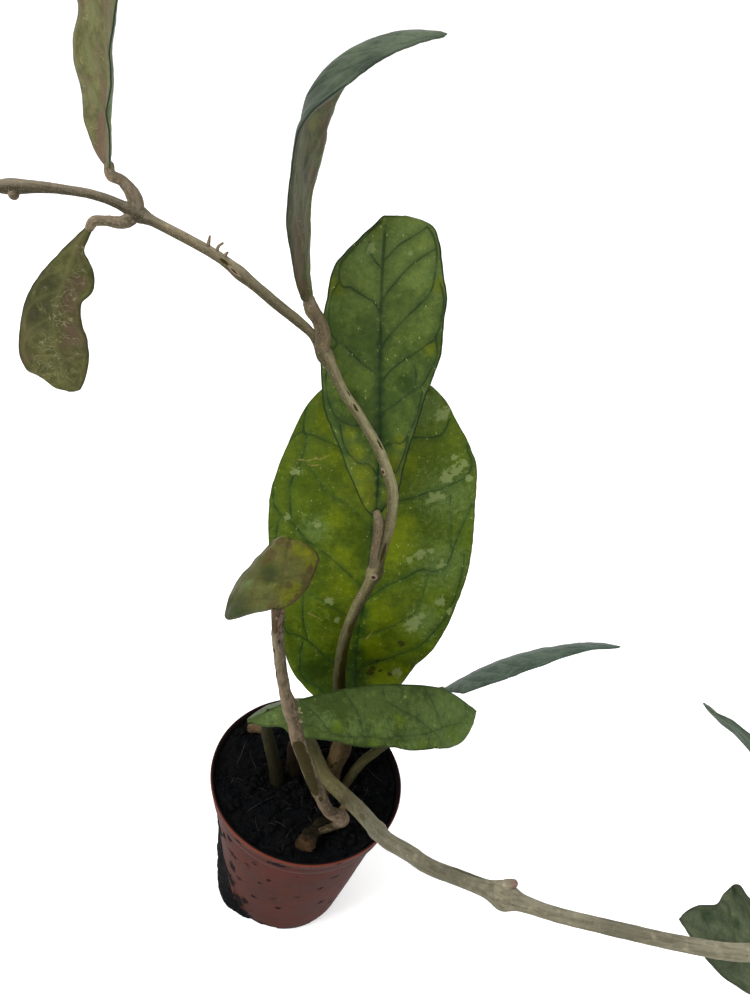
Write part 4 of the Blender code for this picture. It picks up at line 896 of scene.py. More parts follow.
def add_grid(name, columns, rows):
    """A flat grid to be wrapped to a shape, and its vertices from -1 to 1."""
    deselect()
    bpy.ops.mesh.primitive_grid_add(x_subdivisions=columns, y_subdivisions=rows, size=2.0)
    grid = bpy.context.object
    grid.name = name
    grid.data.name = name
    return grid, points_of(grid.data) * MM


def copy_to(thing, points):
    """A copy with a mesh of its own, whose vertices lie at the points."""
    copied = thing.copy()
    copied.data = thing.data.copy()
    bpy.context.scene.collection.objects.link(copied)
    put_points(copied.data, points)
    return copied


def join(things, name):
    take(things[0])
    for thing in things[1:]:
        thing.select_set(True)
    bpy.ops.object.join()
    things[0].name = name
    things[0].data.name = name
    return things[0]


def points_of(mesh):
    """The mesh's vertices in millimetres."""
    flat = np.empty(3 * len(mesh.vertices))
    mesh.vertices.foreach_get("co", flat)
    return flat.reshape(-1, 3) / MM


def put_points(mesh, points):
    mesh.vertices.foreach_set("co", (points * MM).ravel())
    mesh.update()


def normals_of(mesh):
    flat = np.empty(3 * len(mesh.vertices))
    mesh.vertex_normals.foreach_get("vector", flat)
    return flat.reshape(-1, 3)


def put_values(mesh, **kept):
    """Keep numbers or vectors for every vertex, for the materials to read."""
    for name, values in kept.items():
        kind, key = ("FLOAT_VECTOR", "vector") if values.ndim == 2 else ("FLOAT", "value")
        attribute = mesh.attributes.new(name, kind, "POINT")
        attribute.data.foreach_set(key, np.ascontiguousarray(values, dtype=np.float32).ravel())


def bumps(points, grain, seed=0.0):
    """Smooth noise from about -1 to 1 at each row of points, humps about a grain wide."""
    places = (np.asarray(points) / grain + seed).tolist()
    return np.array([noise.noise(place) for place in places])


def unit(rows):
    return rows / np.linalg.norm(rows, axis=-1, keepdims=True)


def smooth_curve(points, samples=900):
    """Even samples of a smooth curve through the points, and how far along each lies."""
    points = np.array(points, dtype=float)
    spans = points[:, :3] if points.shape[1] > 2 else points
    chords = np.linalg.norm(np.diff(spans, axis=0), axis=1)
    places = np.concatenate(([0.0], np.cumsum(chords)))
    slopes = np.diff(points, axis=0) / chords[:, None]
    share = (chords[:-1] / (chords[:-1] + chords[1:]))[:, None]
    inner = slopes[:-1] * (1 - share) + slopes[1:] * share
    tangents = np.vstack((slopes[:1], inner, slopes[-1:]))
    at = np.linspace(0.0, places[-1], samples)
    span = np.clip(np.searchsorted(places, at, side="right") - 1, 0, len(chords) - 1)
    length = chords[span][:, None]
    u = (at - places[span])[:, None] / length
    curve = (
        (1 + 2 * u) * (1 - u) ** 2 * points[span]
        + u * (1 - u) ** 2 * length * tangents[span]
        + u ** 2 * (3 - 2 * u) * points[span + 1]
        + u ** 2 * (u - 1) * length * tangents[span + 1]
    )
    steps = np.linalg.norm(np.diff(curve[:, :spans.shape[1]], axis=0), axis=1)
    return curve, np.concatenate(([0.0], np.cumsum(steps)))


def read_along(curve, places, at):
    """The curve's columns at the given distances along it."""
    return np.stack([np.interp(at, places, column) for column in curve.T], axis=-1)


def hand_over(piece, node, slot, *materials):
    """Give the piece its materials and its body, and hide the solid that it stands for; slot is not
    used.
    """
    for material in materials:
        piece.data.materials.append(material)
    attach(piece, "root")
    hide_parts(node)


# Materials

class Wire:
    """A shader socket that Python's operators work on, each through a Math node."""

    def __init__(self, finish, socket):
        self.finish = finish
        self.socket = socket

    def maths(self, operation, first, second):
        return self.finish.node("ShaderNodeMath", {"operation": operation}, {0: first, 1: second})

    def __add__(self, other):
        return self.maths("ADD", self, other)

    def __sub__(self, other):
        return self.maths("SUBTRACT", self, other)

    def __rsub__(self, other):
        return self.maths("SUBTRACT", other, self)

    def __mul__(self, other):
        return self.maths("MULTIPLY", self, other)

    __radd__ = __add__
    __rmul__ = __mul__


class Finish:
    """A procedural material: a Principled shader and the nodes that feed it.

    Its colour is built up in layers: colour holds what has been laid on so far.
    """

    def __init__(self, name, **constants):
        self.material = bpy.data.materials.new(name)
        self.material.use_nodes = True
        self.tree = self.material.node_tree
        self.shader = self.tree.nodes["Principled BSDF"]
        self.colour = None
        for socket, value in constants.items():
            self.feed(self.shader.inputs[socket.replace("_", " ")], value)

    def feed(self, socket, value):
        if isinstance(value, Wire):
            self.tree.links.new(value.socket, socket)
        else:
            socket.default_value = value

    def node(self, kind, settings, values, out=0):
        """Add a node: its settings first, then the values or wires of its sockets."""
        made = self.tree.nodes.new(kind)
        for setting, value in settings.items():
            if setting == "stops":
                set_stops(made.color_ramp, value)
            else:
                setattr(made, setting, value)
        for socket, value in values.items():
            self.feed(made.inputs[socket], value)
        return Wire(self, made.outputs[out])

    def attribute(self, name, out="Fac"):
        return self.node("ShaderNodeAttribute", {"attribute_name": name}, {}, out)

    def object_place(self):
        """Object coordinates in millimetres."""
        place = self.node("ShaderNodeTexCoord", {}, {}, "Object")
        values = {0: place, "Scale": 1.0 / MM}
        return self.node("ShaderNodeVectorMath", {"operation": "SCALE"}, values)

    def stretch(self, place, scales):
        return self.node("ShaderNodeVectorMath", {"operation": "MULTIPLY"}, {0: place, 1: scales})

    def noise(self, place, grain, detail=3.0, rough=0.55):
        values = {"Vector": place, "Scale": 1.0 / grain, "Detail": detail, "Roughness": rough}
        return self.node("ShaderNodeTexNoise", {}, values)

    def cells(self, place, grain):
        """How far each place is from the nearest of many scattered spots."""
        values = {"Vector": place, "Scale": 1.0 / grain}
        return self.node("ShaderNodeTexVoronoi", {}, values, "Distance")

    def fade(self, value, low, high):
        """0 below low and 1 above high, or the other way round, with a soft step between."""
        values = {"Value": value, "From Min": low, "From Max": high}
        return self.node("ShaderNodeMapRange", {"interpolation_type": "SMOOTHSTEP"}, values)

    def blend(self, share, first, second):
        values = {0: share, 6: solid(first), 7: solid(second)}
        return self.node("ShaderNodeMix", {"data_type": "RGBA"}, values, 2)

    def tinted(self, factors):
        """What has been laid on so far, each channel times its factor."""
        settings = {"data_type": "RGBA", "blend_type": "MULTIPLY"}
        return self.node("ShaderNodeMix", settings, {0: 1.0, 6: self.colour, 7: solid(factors)}, 2)

    def lay(self, share, colour):
        """Lay a colour over the others, where and as much as share says."""
        self.colour = self.blend(share, self.colour, colour)

    def stain(self, share, factors):
        """Tint what has been laid on so far, where and as much as share says."""
        self.lay(share, self.tinted(factors))

    def relief(self, height, distance, strength=1.0):
        values = {"Height": height, "Distance": distance * MM, "Strength": strength}
        return self.node("ShaderNodeBump", {}, values)

    def finish(self, roughness, normal):
        self.feed(self.shader.inputs["Base Color"], self.colour)
        self.feed(self.shader.inputs["Roughness"], roughness)
        self.feed(self.shader.inputs["Normal"], normal)
        return self.material


def solid(colour):
    return colour if isinstance(colour, Wire) else (*colour[:3], 1.0)


def set_stops(ramp, stops):
    while len(ramp.elements) > 1:
        ramp.elements.remove(ramp.elements[-1])
    ramp.elements[0].position = stops[0][0]
    ramp.elements[0].color = solid(stops[0][1])
    for place, colour in stops[1:]:
        ramp.elements.new(place).color = solid(colour)


def shade(colour, factor):
    return tuple(channel * factor for channel in colour[:3])


# Pot

def wall_top(pot):
    """The outer radius of the wall just below the band, in millimetres."""
    return pot.rim_radius / MM - BAND_STEP - LIP


def inner_wall(pot, height):
    """The pot's inner radius at a height, in millimetres."""
    top = pot.height / MM
    heights = [FLOOR, top - BAND_DEPTH - 1.0, top - BAND_DEPTH, top]
    low = (pot.base_radius - pot.wall) / MM
    radii = [low, wall_top(pot) - pot.wall / MM, wall_top(pot), pot.rim_radius / MM - 0.9]
    return float(np.interp(height, heights, radii))


def lathe(name, profile, sides):
    """Turn a profile of (radius, height) points, ring by ring, from a circle."""
    deselect()
    radius, height = profile[0]
    bpy.ops.mesh.primitive_circle_add(
        vertices=sides, radius=radius * MM, location=(0.0, 0.0, height * MM))
    bpy.ops.object.transform_apply(location=True, rotation=True, scale=True)
    turned = bpy.context.object
    turned.name = name
    turned.data.name = name
    with editing(turned):
        for new_radius, new_height in profile[1:]:
            bpy.ops.mesh.extrude_region_move(
                TRANSFORM_OT_translate={"value": (0.0, 0.0, (new_height - height) * MM)})
            share = new_radius / radius
            bpy.ops.transform.resize(
                value=(share, share, 1.0), center_override=(0.0, 0.0, new_height * MM))
            radius, height = new_radius, new_height
        bpy.ops.mesh.select_all(action="SELECT")
        bpy.ops.mesh.remove_doubles(threshold=0.02 * MM)
        bpy.ops.mesh.normals_make_consistent(inside=False)
    return turned


def stations(start, end, count):
    """Points of a straight stretch of a profile, without its first one."""
    return [tuple(start + (end - start) * share) for share in np.linspace(0, 1, count + 1)[1:]]


def pot_profile(pot):
    """The pot's section from the middle of its floor, up inside, over the rim and down."""
    rim, top, base = pot.rim_radius / MM, pot.height / MM, pot.base_radius / MM
    band, wall = top - BAND_DEPTH, wall_top(pot)
    corners = [
        (0.05, FLOOR), (base - 1.6, FLOOR), (base - 1.1, FLOOR + 0.5),
        (inner_wall(pot, band - 1.0), band - 1.0), (wall, band), (rim - 0.9, top - 0.5),
        (rim - 0.75, top - 0.12), (rim - 0.6, top), (rim - 0.25, top), (rim - 0.05, top - 0.12),
        (rim, top - 0.45), (rim - 0.02, top - 1.1), (rim - 0.25, top - 1.5),
        (wall + BAND_STEP, band + 0.4), (wall + BAND_STEP - 0.25, band),
        (wall + 0.1, band - 0.5), (wall, band - 0.9), (base + 0.1, 1.2), (base - 0.1, 0.5),
        (base - 0.45, 0.1), (base - 0.9, 0.0), (0.05, 0.0),
    ]
    profile = [corners[0]]
    for start, end in zip(corners, corners[1:]):
        start, end = np.array(start), np.array(end)
        count = max(1, round(float(np.linalg.norm(end - start)) / FACET))
        profile += stations(start, end, count)
    return profile


def cut_out(thing, cutters):
    for cutter in cutters:
        apply_modifier(thing, "BOOLEAN", operation="DIFFERENCE", object=cutter)
        bpy.data.objects.remove(cutter, do_unlink=True)


def make_pot(pot):
    """The pot, turned, pierced and notched, for its finish to tell inside and smears by."""
    shell = lathe("pot_shell", pot_profile(pot), POT_SIDES)
    cutters = []
    for i in range(DRAIN_HOLES):
        angle = 2 * math.pi * (i + 0.5) / DRAIN_HOLES
        reach = DRAIN_CIRCLE * MM
        deselect()
        bpy.ops.mesh.primitive_cylinder_add(
            vertices=32, radius=DRAIN_RADIUS * MM, depth=4 * FLOOR * MM,
            location=(reach * math.cos(angle), reach * math.sin(angle), 0.0))
        cutters.append(bpy.context.object)
    for i in range(FOOT_NOTCHES):
        angle = 2 * math.pi * i / FOOT_NOTCHES
        reach = pot.base_radius - 1.2 * MM
        deselect()
        bpy.ops.mesh.primitive_cube_add(
            size=1.0, location=(reach * math.cos(angle), reach * math.sin(angle), 0.0),
            rotation=(0.0, 0.0, angle),
            scale=(NOTCH_LENGTH * MM, NOTCH_WIDTH * MM, 2 * NOTCH_HEIGHT * MM))
        apply_modifier(bpy.context.object, "BEVEL", width=0.5 * MM, segments=3)
        cutters.append(bpy.context.object)
    cut_out(shell, cutters)

    points = points_of(shell.data)
    radius = np.hypot(points[:, 0], points[:, 1])
    top, rim = pot.height / MM, pot.rim_radius / MM
    outer = np.interp(
        points[:, 2], [0.0, top - BAND_DEPTH, top - BAND_DEPTH + 0.1, top],
        [pot.base_radius / MM, wall_top(pot), rim - BAND_STEP, rim])
    inside = np.clip((outer - radius) / 0.5, 0.0, 1.0)
    heading = np.degrees(np.arctan2(points[:, 1], points[:, 0])) % 360.0
    smear = np.zeros(len(points))
    for degrees, height, wide, high in SMEARS:
        gap = np.hypot((heading - degrees) * SMEAR_SCALE / wide, (points[:, 2] - height) / high)
        smear = np.maximum(smear, 1.0 - np.clip(gap, 0.0, 1.0))
    put_values(shell.data, inside=inside, smear=smear)
    around = points[:, :2] / 24.0
    sway = bumps(np.column_stack((around, points[:, 2] / 40.0)), 1.0, 5.0)
    dents = bumps(points, 9.0, 2.0) + 0.5 * bumps(points, 4.0, 8.0)
    outward = unit(points[:, :2] + 1e-6)
    points[:, :2] += outward * (0.25 * sway + 0.06 * dents)[:, None]
    put_points(shell.data, points)
    take(shell)
    bpy.ops.object.shade_smooth_by_angle(angle=CREASE)
    return shell


def plastic_finish(pot):
    """Thin dull plastic with a film of dust, soil smears, painted shade inside and a painted
    highlight on the rim.
    """
    paint = Finish("pot plastic", Specular_IOR_Level=MATT)
    place = paint.object_place()
    height = paint.node("ShaderNodeSeparateXYZ", {}, {0: place}, "Z")
    plastic, dirt = tuple(pot.plastic), tuple(pot.dirt)
    cloudy = paint.noise(place, 11.0, 4.0)
    fine = paint.noise(place, 1.4, 4.0, 0.65)
    clouds = paint.fade(cloudy, 0.35, 0.7)
    paint.colour = paint.blend(clouds, shade(plastic, 0.8), shade(plastic, 1.3))
    dusty = paint.fade(paint.noise(paint.stretch(place, (1.0, 1.0, 0.35)), 5.0, 5.0), 0.42, 0.75)
    dusty = dusty * paint.fade(height, 47.0, 41.0)
    paint.lay(dusty * 0.4, DUST)
    paint.lay(paint.fade(fine, 0.40, 0.70) * 0.35, shade(plastic, 0.55))
    top = pot.height / MM
    outside = 1.0 - paint.attribute("inside")
    # Painted highlight along the outer top edge of the rim.
    rim = paint.fade(height, top - 1.3, top - 0.5) * paint.fade(outside, 0.35, 0.75)
    paint.lay(rim * 0.9, tuple(pot.rim))
    specks = paint.noise(paint.stretch(place, (1.0, 1.0, 1.7)), 1.8, 5.0, 0.7)
    smear = paint.attribute("smear")
    spot = paint.fade(specks + smear * 0.46, 0.65, 0.685)
    paint.lay(spot * 0.95, dirt)
    # Painted shade on the inside of the wall, in a darkened dirt colour.
    inside_shade = paint.fade(outside, 0.55, 0.25)
    paint.lay(inside_shade * 0.93, shade(dirt, 1.6))
    low = paint.fade(height + (fine - 0.5) * 6.0, 4.0, 0.0) * 0.5
    paint.lay(low, shade(dirt, 3.0))
    rough = 0.46 + cloudy * 0.18 + spot * 0.3 + dusty * 0.1
    lift = fine * 0.25 + spot * 1.4 + paint.noise(place, 5.0) * 1.2
    return paint.finish(rough, paint.relief(lift, 0.12, 0.6))


def make_dirt_crust(pot):
    """Dried soil that clings to the left of the wall and thickens its outline."""
    crust, grid = add_grid("pot_dirt", 110, 150)
    across, up = grid[:, 0], (grid[:, 1] + 1.0) / 2.0
    height = 0.3 + CRUST_HEIGHT * up
    low = np.exp(-height / 5.0)
    heading = np.radians(CRUST_HEADING + 16.0 * low + (27.0 + 18.0 * low) * across)
    top = pot.height / MM - BAND_DEPTH - 0.9
    wall = np.interp(height, [1.2, top], [pot.base_radius / MM, wall_top(pot)])
    around = np.column_stack((heading * 22.0, height, np.zeros_like(height)))
    bulk = bumps(around, 8.0, 3.0) + 0.55 * bumps(around, 3.2, 7.0)
    bulk = bulk + 0.3 * bumps(around, 1.2, 9.0)
    fringe = 1.0 - np.clip(np.abs(across), 0, 1) ** 2 * 1.5
    heavy = np.interp(height, *zip(*CRUST_WEIGHT))
    proud = np.clip(0.75 * bulk + fringe * heavy - 0.35, -0.45, 2.7)
    radius = wall + proud
    shaped = np.column_stack((radius * np.cos(heading), radius * np.sin(heading), height))
    put_points(crust.data, shaped)
    with editing(crust):
        bpy.ops.mesh.normals_make_consistent(inside=False)
    apply_modifier(crust, "SOLIDIFY", thickness=0.35 * MM, offset=-1.0)
    bpy.ops.object.shade_smooth()
    return crust


# Soil

def soil_height(soil, x, y):
    """The height of the soil's humps and hollows, without its grains."""
    humps = bumps(np.column_stack((x / SOIL_GRAIN, y / SOIL_GRAIN, np.full(len(x), 3.7))), 1.0)
    return soil.level / MM + SOIL_ROUGHNESS * humps + SOIL_BOWL * (x * x + y * y)


def make_soil(pot, soil):
    """The whole filling of the pot, with a grainy top."""
    edge = soil.level / MM - EDGE_DROP
    width = inner_wall(pot, edge) + 0.05
    rings = [(share * width, edge) for share in np.linspace(0.002, 1.0, SOIL_RINGS)]
    band = pot.height / MM - BAND_DEPTH
    lower = [band, band - 1.0, 36.0, 18.0, FLOOR + 0.05]
    profile = rings + [(inner_wall(pot, height) + 0.03, height) for height in lower]
    profile.append((0.05, FLOOR + 0.05))
    body = lathe("soil", profile, SOIL_SIDES)
    points = points_of(body.data)
    top = points[:, 2] > edge - 0.1
    x, y = points[top, 0], points[top, 1]
    ground = np.column_stack((x, y, np.zeros_like(x)))
    height = soil_height(soil, x, y) + 0.7 * bumps(ground, 3.1, 4.0)
    height += 0.42 * bumps(ground, 1.4, 6.0) + 0.2 * bumps(ground, 0.7, 1.0)
    points[top, 2] = height - 0.25
    put_points(body.data, points)
    bpy.ops.object.shade_smooth()
    return body


def scatter(draw, pot, count, margin):
    """Random places on the soil."""
    radius = (inner_wall(pot, SCATTER_HEIGHT) - margin) * np.sqrt(draw.random(count))
    heading = 2 * math.pi * draw.random(count)
    return radius * np.cos(heading), radius * np.sin(heading)


def make_crumbs(pot, soil):
    """Crumbs of peat: one lump, copied, each copy with a size, turn and shape of its own."""
    draw = np.random.default_rng(CRUMBS_SEED)
    deselect()
    bpy.ops.mesh.primitive_cube_add(size=2.0 * MM)
    lump = bpy.context.object
    with editing(lump):
        bpy.ops.mesh.subdivide(number_cuts=1, smoothness=1.0)
    form = points_of(lump.data)
    x, y = scatter(draw, pot, soil.crumbs, 1.0)
    ground = soil_height(soil, x, y)
    crumbs = []
    for i in range(soil.crumbs):
        size = 0.22 + 0.75 * draw.random() ** 3
        turn = Matrix.Rotation(ANY_TURN * draw.random(), 3, Vector(draw.random(3) - 0.5))
        shaped = form * (1.0 + 0.35 * bumps(form + 9.0 * i, 1.1)[:, None])
        shaped = shaped * (size * (0.7 + 0.6 * draw.random(3))) @ np.array(turn).T
        crumbs.append(copy_to(lump, shaped + (x[i], y[i], ground[i] + 0.1 * size)))
    bpy.data.objects.remove(lump, do_unlink=True)
    return join(crumbs, "soil_crumbs")


def make_fibres(pot, soil):
    """Thin roots that lie on the peat: one strand, copied and bent its own way."""
    draw = np.random.default_rng(FIBRES_SEED)
    strand, form = add_grid("strand", 3, 7)
    around, along = math.pi * (form[:, 0] + 1.0), (form[:, 1] + 1.0) / 2.0
    x, y = scatter(draw, pot, soil.fibres, 5.0)
    fibres = []
    for i in range(soil.fibres):
        length, heading = 2.5 + 9.0 * draw.random() ** 2, ANY_TURN * draw.random()
        bend = draw.random() - 0.5
        thick = 0.03 + 0.04 * draw.random()
        way = heading + bend * (along - 0.5)
        middle_x = x[i] + length * (along - 0.5) * np.cos(way)
        middle_y = y[i] + length * (along - 0.5) * np.sin(way)
        lift = 0.35 + 1.1 * draw.random() * np.sin(math.pi * along)
        radius = thick * (1.05 - 0.9 * (2 * along - 1) ** 6)
        fibres.append(copy_to(strand, np.column_stack((
            middle_x - np.sin(way) * radius * np.cos(around),
            middle_y + np.cos(way) * radius * np.cos(around),
            soil_height(soil, middle_x, middle_y) + lift + radius * np.sin(around)))))
    bpy.data.objects.remove(strand, do_unlink=True)
    whole = join(fibres, "soil_fibres")
    weld(whole)
    bpy.ops.object.shade_smooth()
    return whole


def peat_finish(soil, name, strength=1.0):
    """Near-black peat with browner grains and short pale hairs; in the pot its near-black is partly
    painted shade.
    """
    paint = Finish(name, Specular_IOR_Level=MATT)
    place = paint.object_place()
    peat = shade(tuple(soil.peat), strength)
    grains = paint.noise(place, 0.9, 5.0, 0.7)
    patches = paint.noise(place, 5.0, 3.0)
    paint.colour = paint.blend(paint.fade(grains, 0.42, 0.7), peat, shade(peat, 2.6))
    paint.lay(paint.fade(patches, 0.5, 0.75) * 0.5, BROWN_PEAT)
    hair = paint.noise(paint.stretch(place, (3.2, 0.35, 1.0)), 1.1, 2.0)
    paint.lay(paint.fade(hair, 0.70, 0.74) * 0.5, tuple(soil.fibre))
    return paint.finish(0.85 + grains * 0.1, paint.relief(grains, 0.5, 0.8))


def fibre_finish(soil):
    paint = Finish("root fibre")
    tone = paint.noise(paint.object_place(), 1.5, 3.0)
    fibre = tuple(soil.fibre)
    paint.colour = paint.blend(tone, shade(fibre, 0.5), shade(fibre, 1.5))
    return paint.finish(0.8, paint.relief(tone, 0.05))


# Stems

def make_stem(
    name, route, bark, step=0.4, sides=28, swellings=(), ridges=0.05, lumps=0.03, warts=0,
    wart=(0.3, 0.1), blunt=(1.0, 1.0), facing=TO_VIEWER, scars=(), darks=(), seed=1,
):
    """A stem wrapped from a grid: a tube of changing width with domed ends.

    For its bark it keeps flow, its place on the straightened stem in millimetres, share, how
    far along the stem it lies, and how deep it lies in a wart, a scar or a dark patch.
    """
    curve, places = smooth_curve(route)
    length = places[-1]
    rows = max(8, round(length / step))
    all_rows = rows + 2 * CAP_ROWS
    stem, grid = add_grid(name, sides, all_rows)
    around = math.pi * (grid[:, 0] + 1.0)
    row = np.rint((grid[:, 1] + 1.0) / 2.0 * all_rows)

    first, last = curve[0, 3] * blunt[0], curve[-1, 3] * blunt[1]
    body = (row - CAP_ROWS) / rows
    at = first + np.clip(body, 0.0, 1.0) * (length - first - last)
    taper = np.ones_like(at)
    near, far = row < CAP_ROWS, row > rows + CAP_ROWS
    bow = np.pi / 2 * row[near] / CAP_ROWS
    at[near], taper[near] = first * (1 - np.cos(bow)), np.sin(bow)
    bow = np.pi / 2 * (all_rows - row[far]) / CAP_ROWS
    at[far], taper[far] = length - last * (1 - np.cos(bow)), np.sin(bow)

    centre = read_along(curve, places, at)
    ahead = read_along(curve, places, np.minimum(at + STEM_AHEAD, length))[:, :3]
    behind = read_along(curve, places, np.maximum(at - STEM_AHEAD, 0.0))[:, :3]
    tangent = unit(ahead - behind)
    face = np.array(facing)
    front = unit(face - tangent * (tangent @ face)[:, None])
    beside = np.cross(tangent, front)
    radius = centre[:, 3].copy()
    for x, y, z, extra in swellings:
        gap = np.linalg.norm(centre[:, :3] - (x, y, z), axis=1)
        radius += extra * np.exp(-(gap / NODE_REACH) ** 2)

    flow = np.column_stack((radius * np.cos(around), radius * np.sin(around), at))
    long_flow = flow * (1.0, 1.0, LONGWAYS)
    lift = ridges * (bumps(long_flow, 0.9, seed) + 0.5 * bumps(long_flow, 0.45, seed + 3.0))
    lift += lumps * (bumps(flow, 2.6, seed + 5.0) + 0.6 * bumps(flow, 1.1, seed + 7.0))
    draw = np.random.default_rng(seed)
    raised = np.zeros_like(lift)
    for _ in range(warts):
        spot, side = length * draw.random(), 2 * math.pi * draw.random()
        size = wart[0] * (0.6 + 0.8 * draw.random())
        turn = (around - side + math.pi) % (2 * math.pi) - math.pi
        gap = ((at - spot) / (1.5 * size)) ** 2 + (turn * radius / size) ** 2
        raised = np.maximum(raised, np.exp(-gap))
    share = at / length
    scar = stem_mask(share, around, radius, length, scars)
    lift += wart[1] * raised + SCAR_HEIGHT * np.sin(math.pi * scar)
    reach = (radius + lift)[:, None] * taper[:, None]
    points = centre[:, :3] + reach * (
        np.cos(around)[:, None] * front + np.sin(around)[:, None] * beside)
    put_points(stem.data, points)
    dark = stem_mask(share, around, radius, length, darks)
    put_values(stem.data, flow=flow, share=share, wart=raised, scar=scar, dark=dark)
    weld(stem)
    bpy.ops.object.shade_smooth()
    stem.data.materials.append(bark)
    return stem


def stem_mask(share, around, radius, length, spots):
    """How deep each place lies in a stem's marks: 0 outside them and 1 at their middles."""
    mask = np.zeros_like(share)
    for place, degrees, across, along in spots:
        turn = (around - math.radians(degrees) + math.pi) % (2 * math.pi) - math.pi
        gap = np.hypot((share - place) * length / along, turn * radius / across)
        mask = np.maximum(mask, 1.0 - np.clip(gap, 0.0, 1.0))
    return mask


def reach_blade(stalk, leaf):
    """The stalk's route, led on into its blade."""
    radius = stalk[-1][3]
    if leaf.stalk_at:
        start, upward = blade_surface(leaf, np.array([leaf.stalk_at]), np.array([0.0]))[:2]
        start, away = start[0], -upward[0]
    else:
        start = np.array(leaf.midrib[0])
        away = unit(start - np.array(leaf.midrib[1]))
    end = start - away * (0.1 if leaf.stalk_at else STALK_OVERLAP)
    if np.linalg.norm(start - stalk[-1][:3]) < STALK_NEAR:
        return stalk + [(*end, 0.6 * radius)]
    return stalk + [(*(start + away * STALK_OVERLAP), radius), (*end, 0.75 * radius)]


def bark_finish(
    name, stops, vines, flecks=0.5, peel=0.0, grain=0.0, shady=0.5, swap=None, dark=0.98,
):
    """Bark: colours along the stem, painted shade on one side, streaks, pores, scars and peeling
    skin.

    Painted shade darkens the right side, and from the first to the second share of the length in
    swap it moves over to the left one.
    """
    paint = Finish(name, Specular_IOR_Level=BARK_SHEEN)
    flow = paint.attribute("flow", "Vector")
    share = paint.attribute("share")
    raised = paint.attribute("wart")
    wander = paint.noise(flow, 6.0, 2.0)
    place = share + (wander - 0.5) * 0.05
    paint.colour = paint.node("ShaderNodeValToRGB", {"stops": stops}, {0: place})
    mottle = paint.noise(flow, 1.6, 4.0, 0.6)
    pale = paint.tinted((1.6, 1.56, 1.5))
    paint.lay(paint.fade(mottle, 0.48, 0.68) * 0.6, pale)
    streaks = paint.noise(paint.stretch(flow, (1.0, 1.0, 0.12)), 0.55, 4.0, 0.6)
    paint.stain(paint.fade(streaks, 0.42, 0.66) * 0.5, (0.38, 0.37, 0.33))
    # Painted shade: one side of the stem is tinted darker, as if the light fell on the other side.
    side = paint.node("ShaderNodeSeparateXYZ", {}, {0: flow}, "Y")
    if swap:
        side = side * (1.0 - 2.0 * paint.fade(share, *swap))
    turned = paint.fade(side + (mottle - 0.5) * 1.4, -0.9, 1.1)
    paint.stain(turned * shady, (0.22, 0.22, 0.16))
    if grain:
        grains = paint.cells(flow, 0.36)
        paint.lay(paint.fade(grains, 0.34, 0.10) * grain, pale)
    pores = paint.cells(paint.stretch(flow, (1.0, 1.0, 0.55)), 0.75)
    chance = paint.noise(flow, 2.4, 1.0)
    pore = paint.fade(pores, 0.22, 0.12) * paint.fade(chance, 0.46, 0.58)
    paint.lay(pore * flecks, tuple(vines.scar))
    paint.lay(raised * 0.55, pale)
    if peel:
        flakes = paint.noise(paint.stretch(flow, (1.0, 1.0, 0.4)), 1.5, 5.0, 0.7)
        sheet = paint.fade(flakes, 0.52, 0.55) * peel
        paint.lay(sheet, PEELED_BARK)
        mottle = mottle + sheet * 0.8
    patch = paint.fade(paint.attribute("dark") + (wander - 0.5) * 0.5, 0.20, 0.26)
    paint.lay(patch * dark, tuple(vines.blotch))
    scar = paint.attribute("scar")
    paint.lay(paint.fade(scar, 0.0, 0.25), SCAR_RIM)
    paint.lay(paint.fade(scar, 0.40, 0.60), SCAR_HEART)
    lift = streaks * 0.6 + mottle * 0.4 - pore * 0.4
    return paint.finish(0.62 + mottle * 0.15, paint.relief(lift, 0.10, 0.8))


def make_main_vine(vines):
    """The main vine with the stalks of five leaves and its spurs."""
    bark = bark_finish(
        "vine bark", MAIN_VINE_TONES, vines, 0.6, grain=0.6, shady=0.9, swap=(0.34, 0.42))
    stalk_bark = bark_finish(
        "stalk bark", STALK_TONES, vines, grain=0.9, shady=0.6, swap=SHADY_LEFT)
    outer_bark = bark_finish(
        "outer stalk bark", OUTER_STALK_TONES, vines, 0.7, grain=0.9, shady=0.6, swap=SHADY_LEFT)
    stems = [make_stem(
        "main_vine", MAIN_VINE, bark, swellings=MAIN_VINE_NODES, warts=130, wart=(0.22, 0.07),
        scars=MAIN_VINE_SCARS, darks=MAIN_VINE_DARKS, seed=3)]
    for i, (name, route) in enumerate(MAIN_VINE_STALKS.items()):
        stems.append(make_stem(
            "stalk", reach_blade(route, BLADES[name]),
            outer_bark if name in OUTER_LEAVES else stalk_bark, step=0.3, ridges=0.03,
            lumps=0.06, warts=120, wart=(0.2, 0.10), seed=20 + i))
    for i, route in enumerate(SPURS):
        stems.append(make_stem("spur", route, outer_bark, step=0.2, sides=12, seed=30 + i))
    return join(stems, "main_vine_bark")


def make_trailing_vine(vines):
    """The vine that hangs over the rim, with the stalks of two leaves and a cut nub."""
    tones = [(0.0, tuple(vines.young))] + TRAILING_VINE_TONES
    tones += [(share, shade(TRAILING_VINE_PALE, factor)) for share, factor in TRAILING_VINE_SHADES]
    bark = bark_finish("trailing vine bark", tones, vines, 0.35, shady=0.45, dark=0.5)
    stems = [make_stem(
        "trailing_vine", TRAILING_VINE, bark, swellings=TRAILING_VINE_NODES, facing=UPWARD,
        warts=60, wart=(0.25, 0.06), darks=TRAILING_VINE_DARKS, seed=4)]
    for i, (name, route) in enumerate(TRAILING_VINE_STALKS.items()):
        stems.append(make_stem(
            "stalk", reach_blade(route, BLADES[name]), bark, step=0.3, lumps=0.06, warts=60,
            wart=(0.2, 0.08), facing=UPWARD, seed=40 + i))
    nub_bark = bark_finish("nub", NUB_TONES, vines, 0.3, shady=0.3)
    stems.append(make_stem("nub", TRAILING_NUB, nub_bark, step=0.2, sides=20, lumps=0.08, seed=43))
    return join(stems, "trailing_vine_bark")


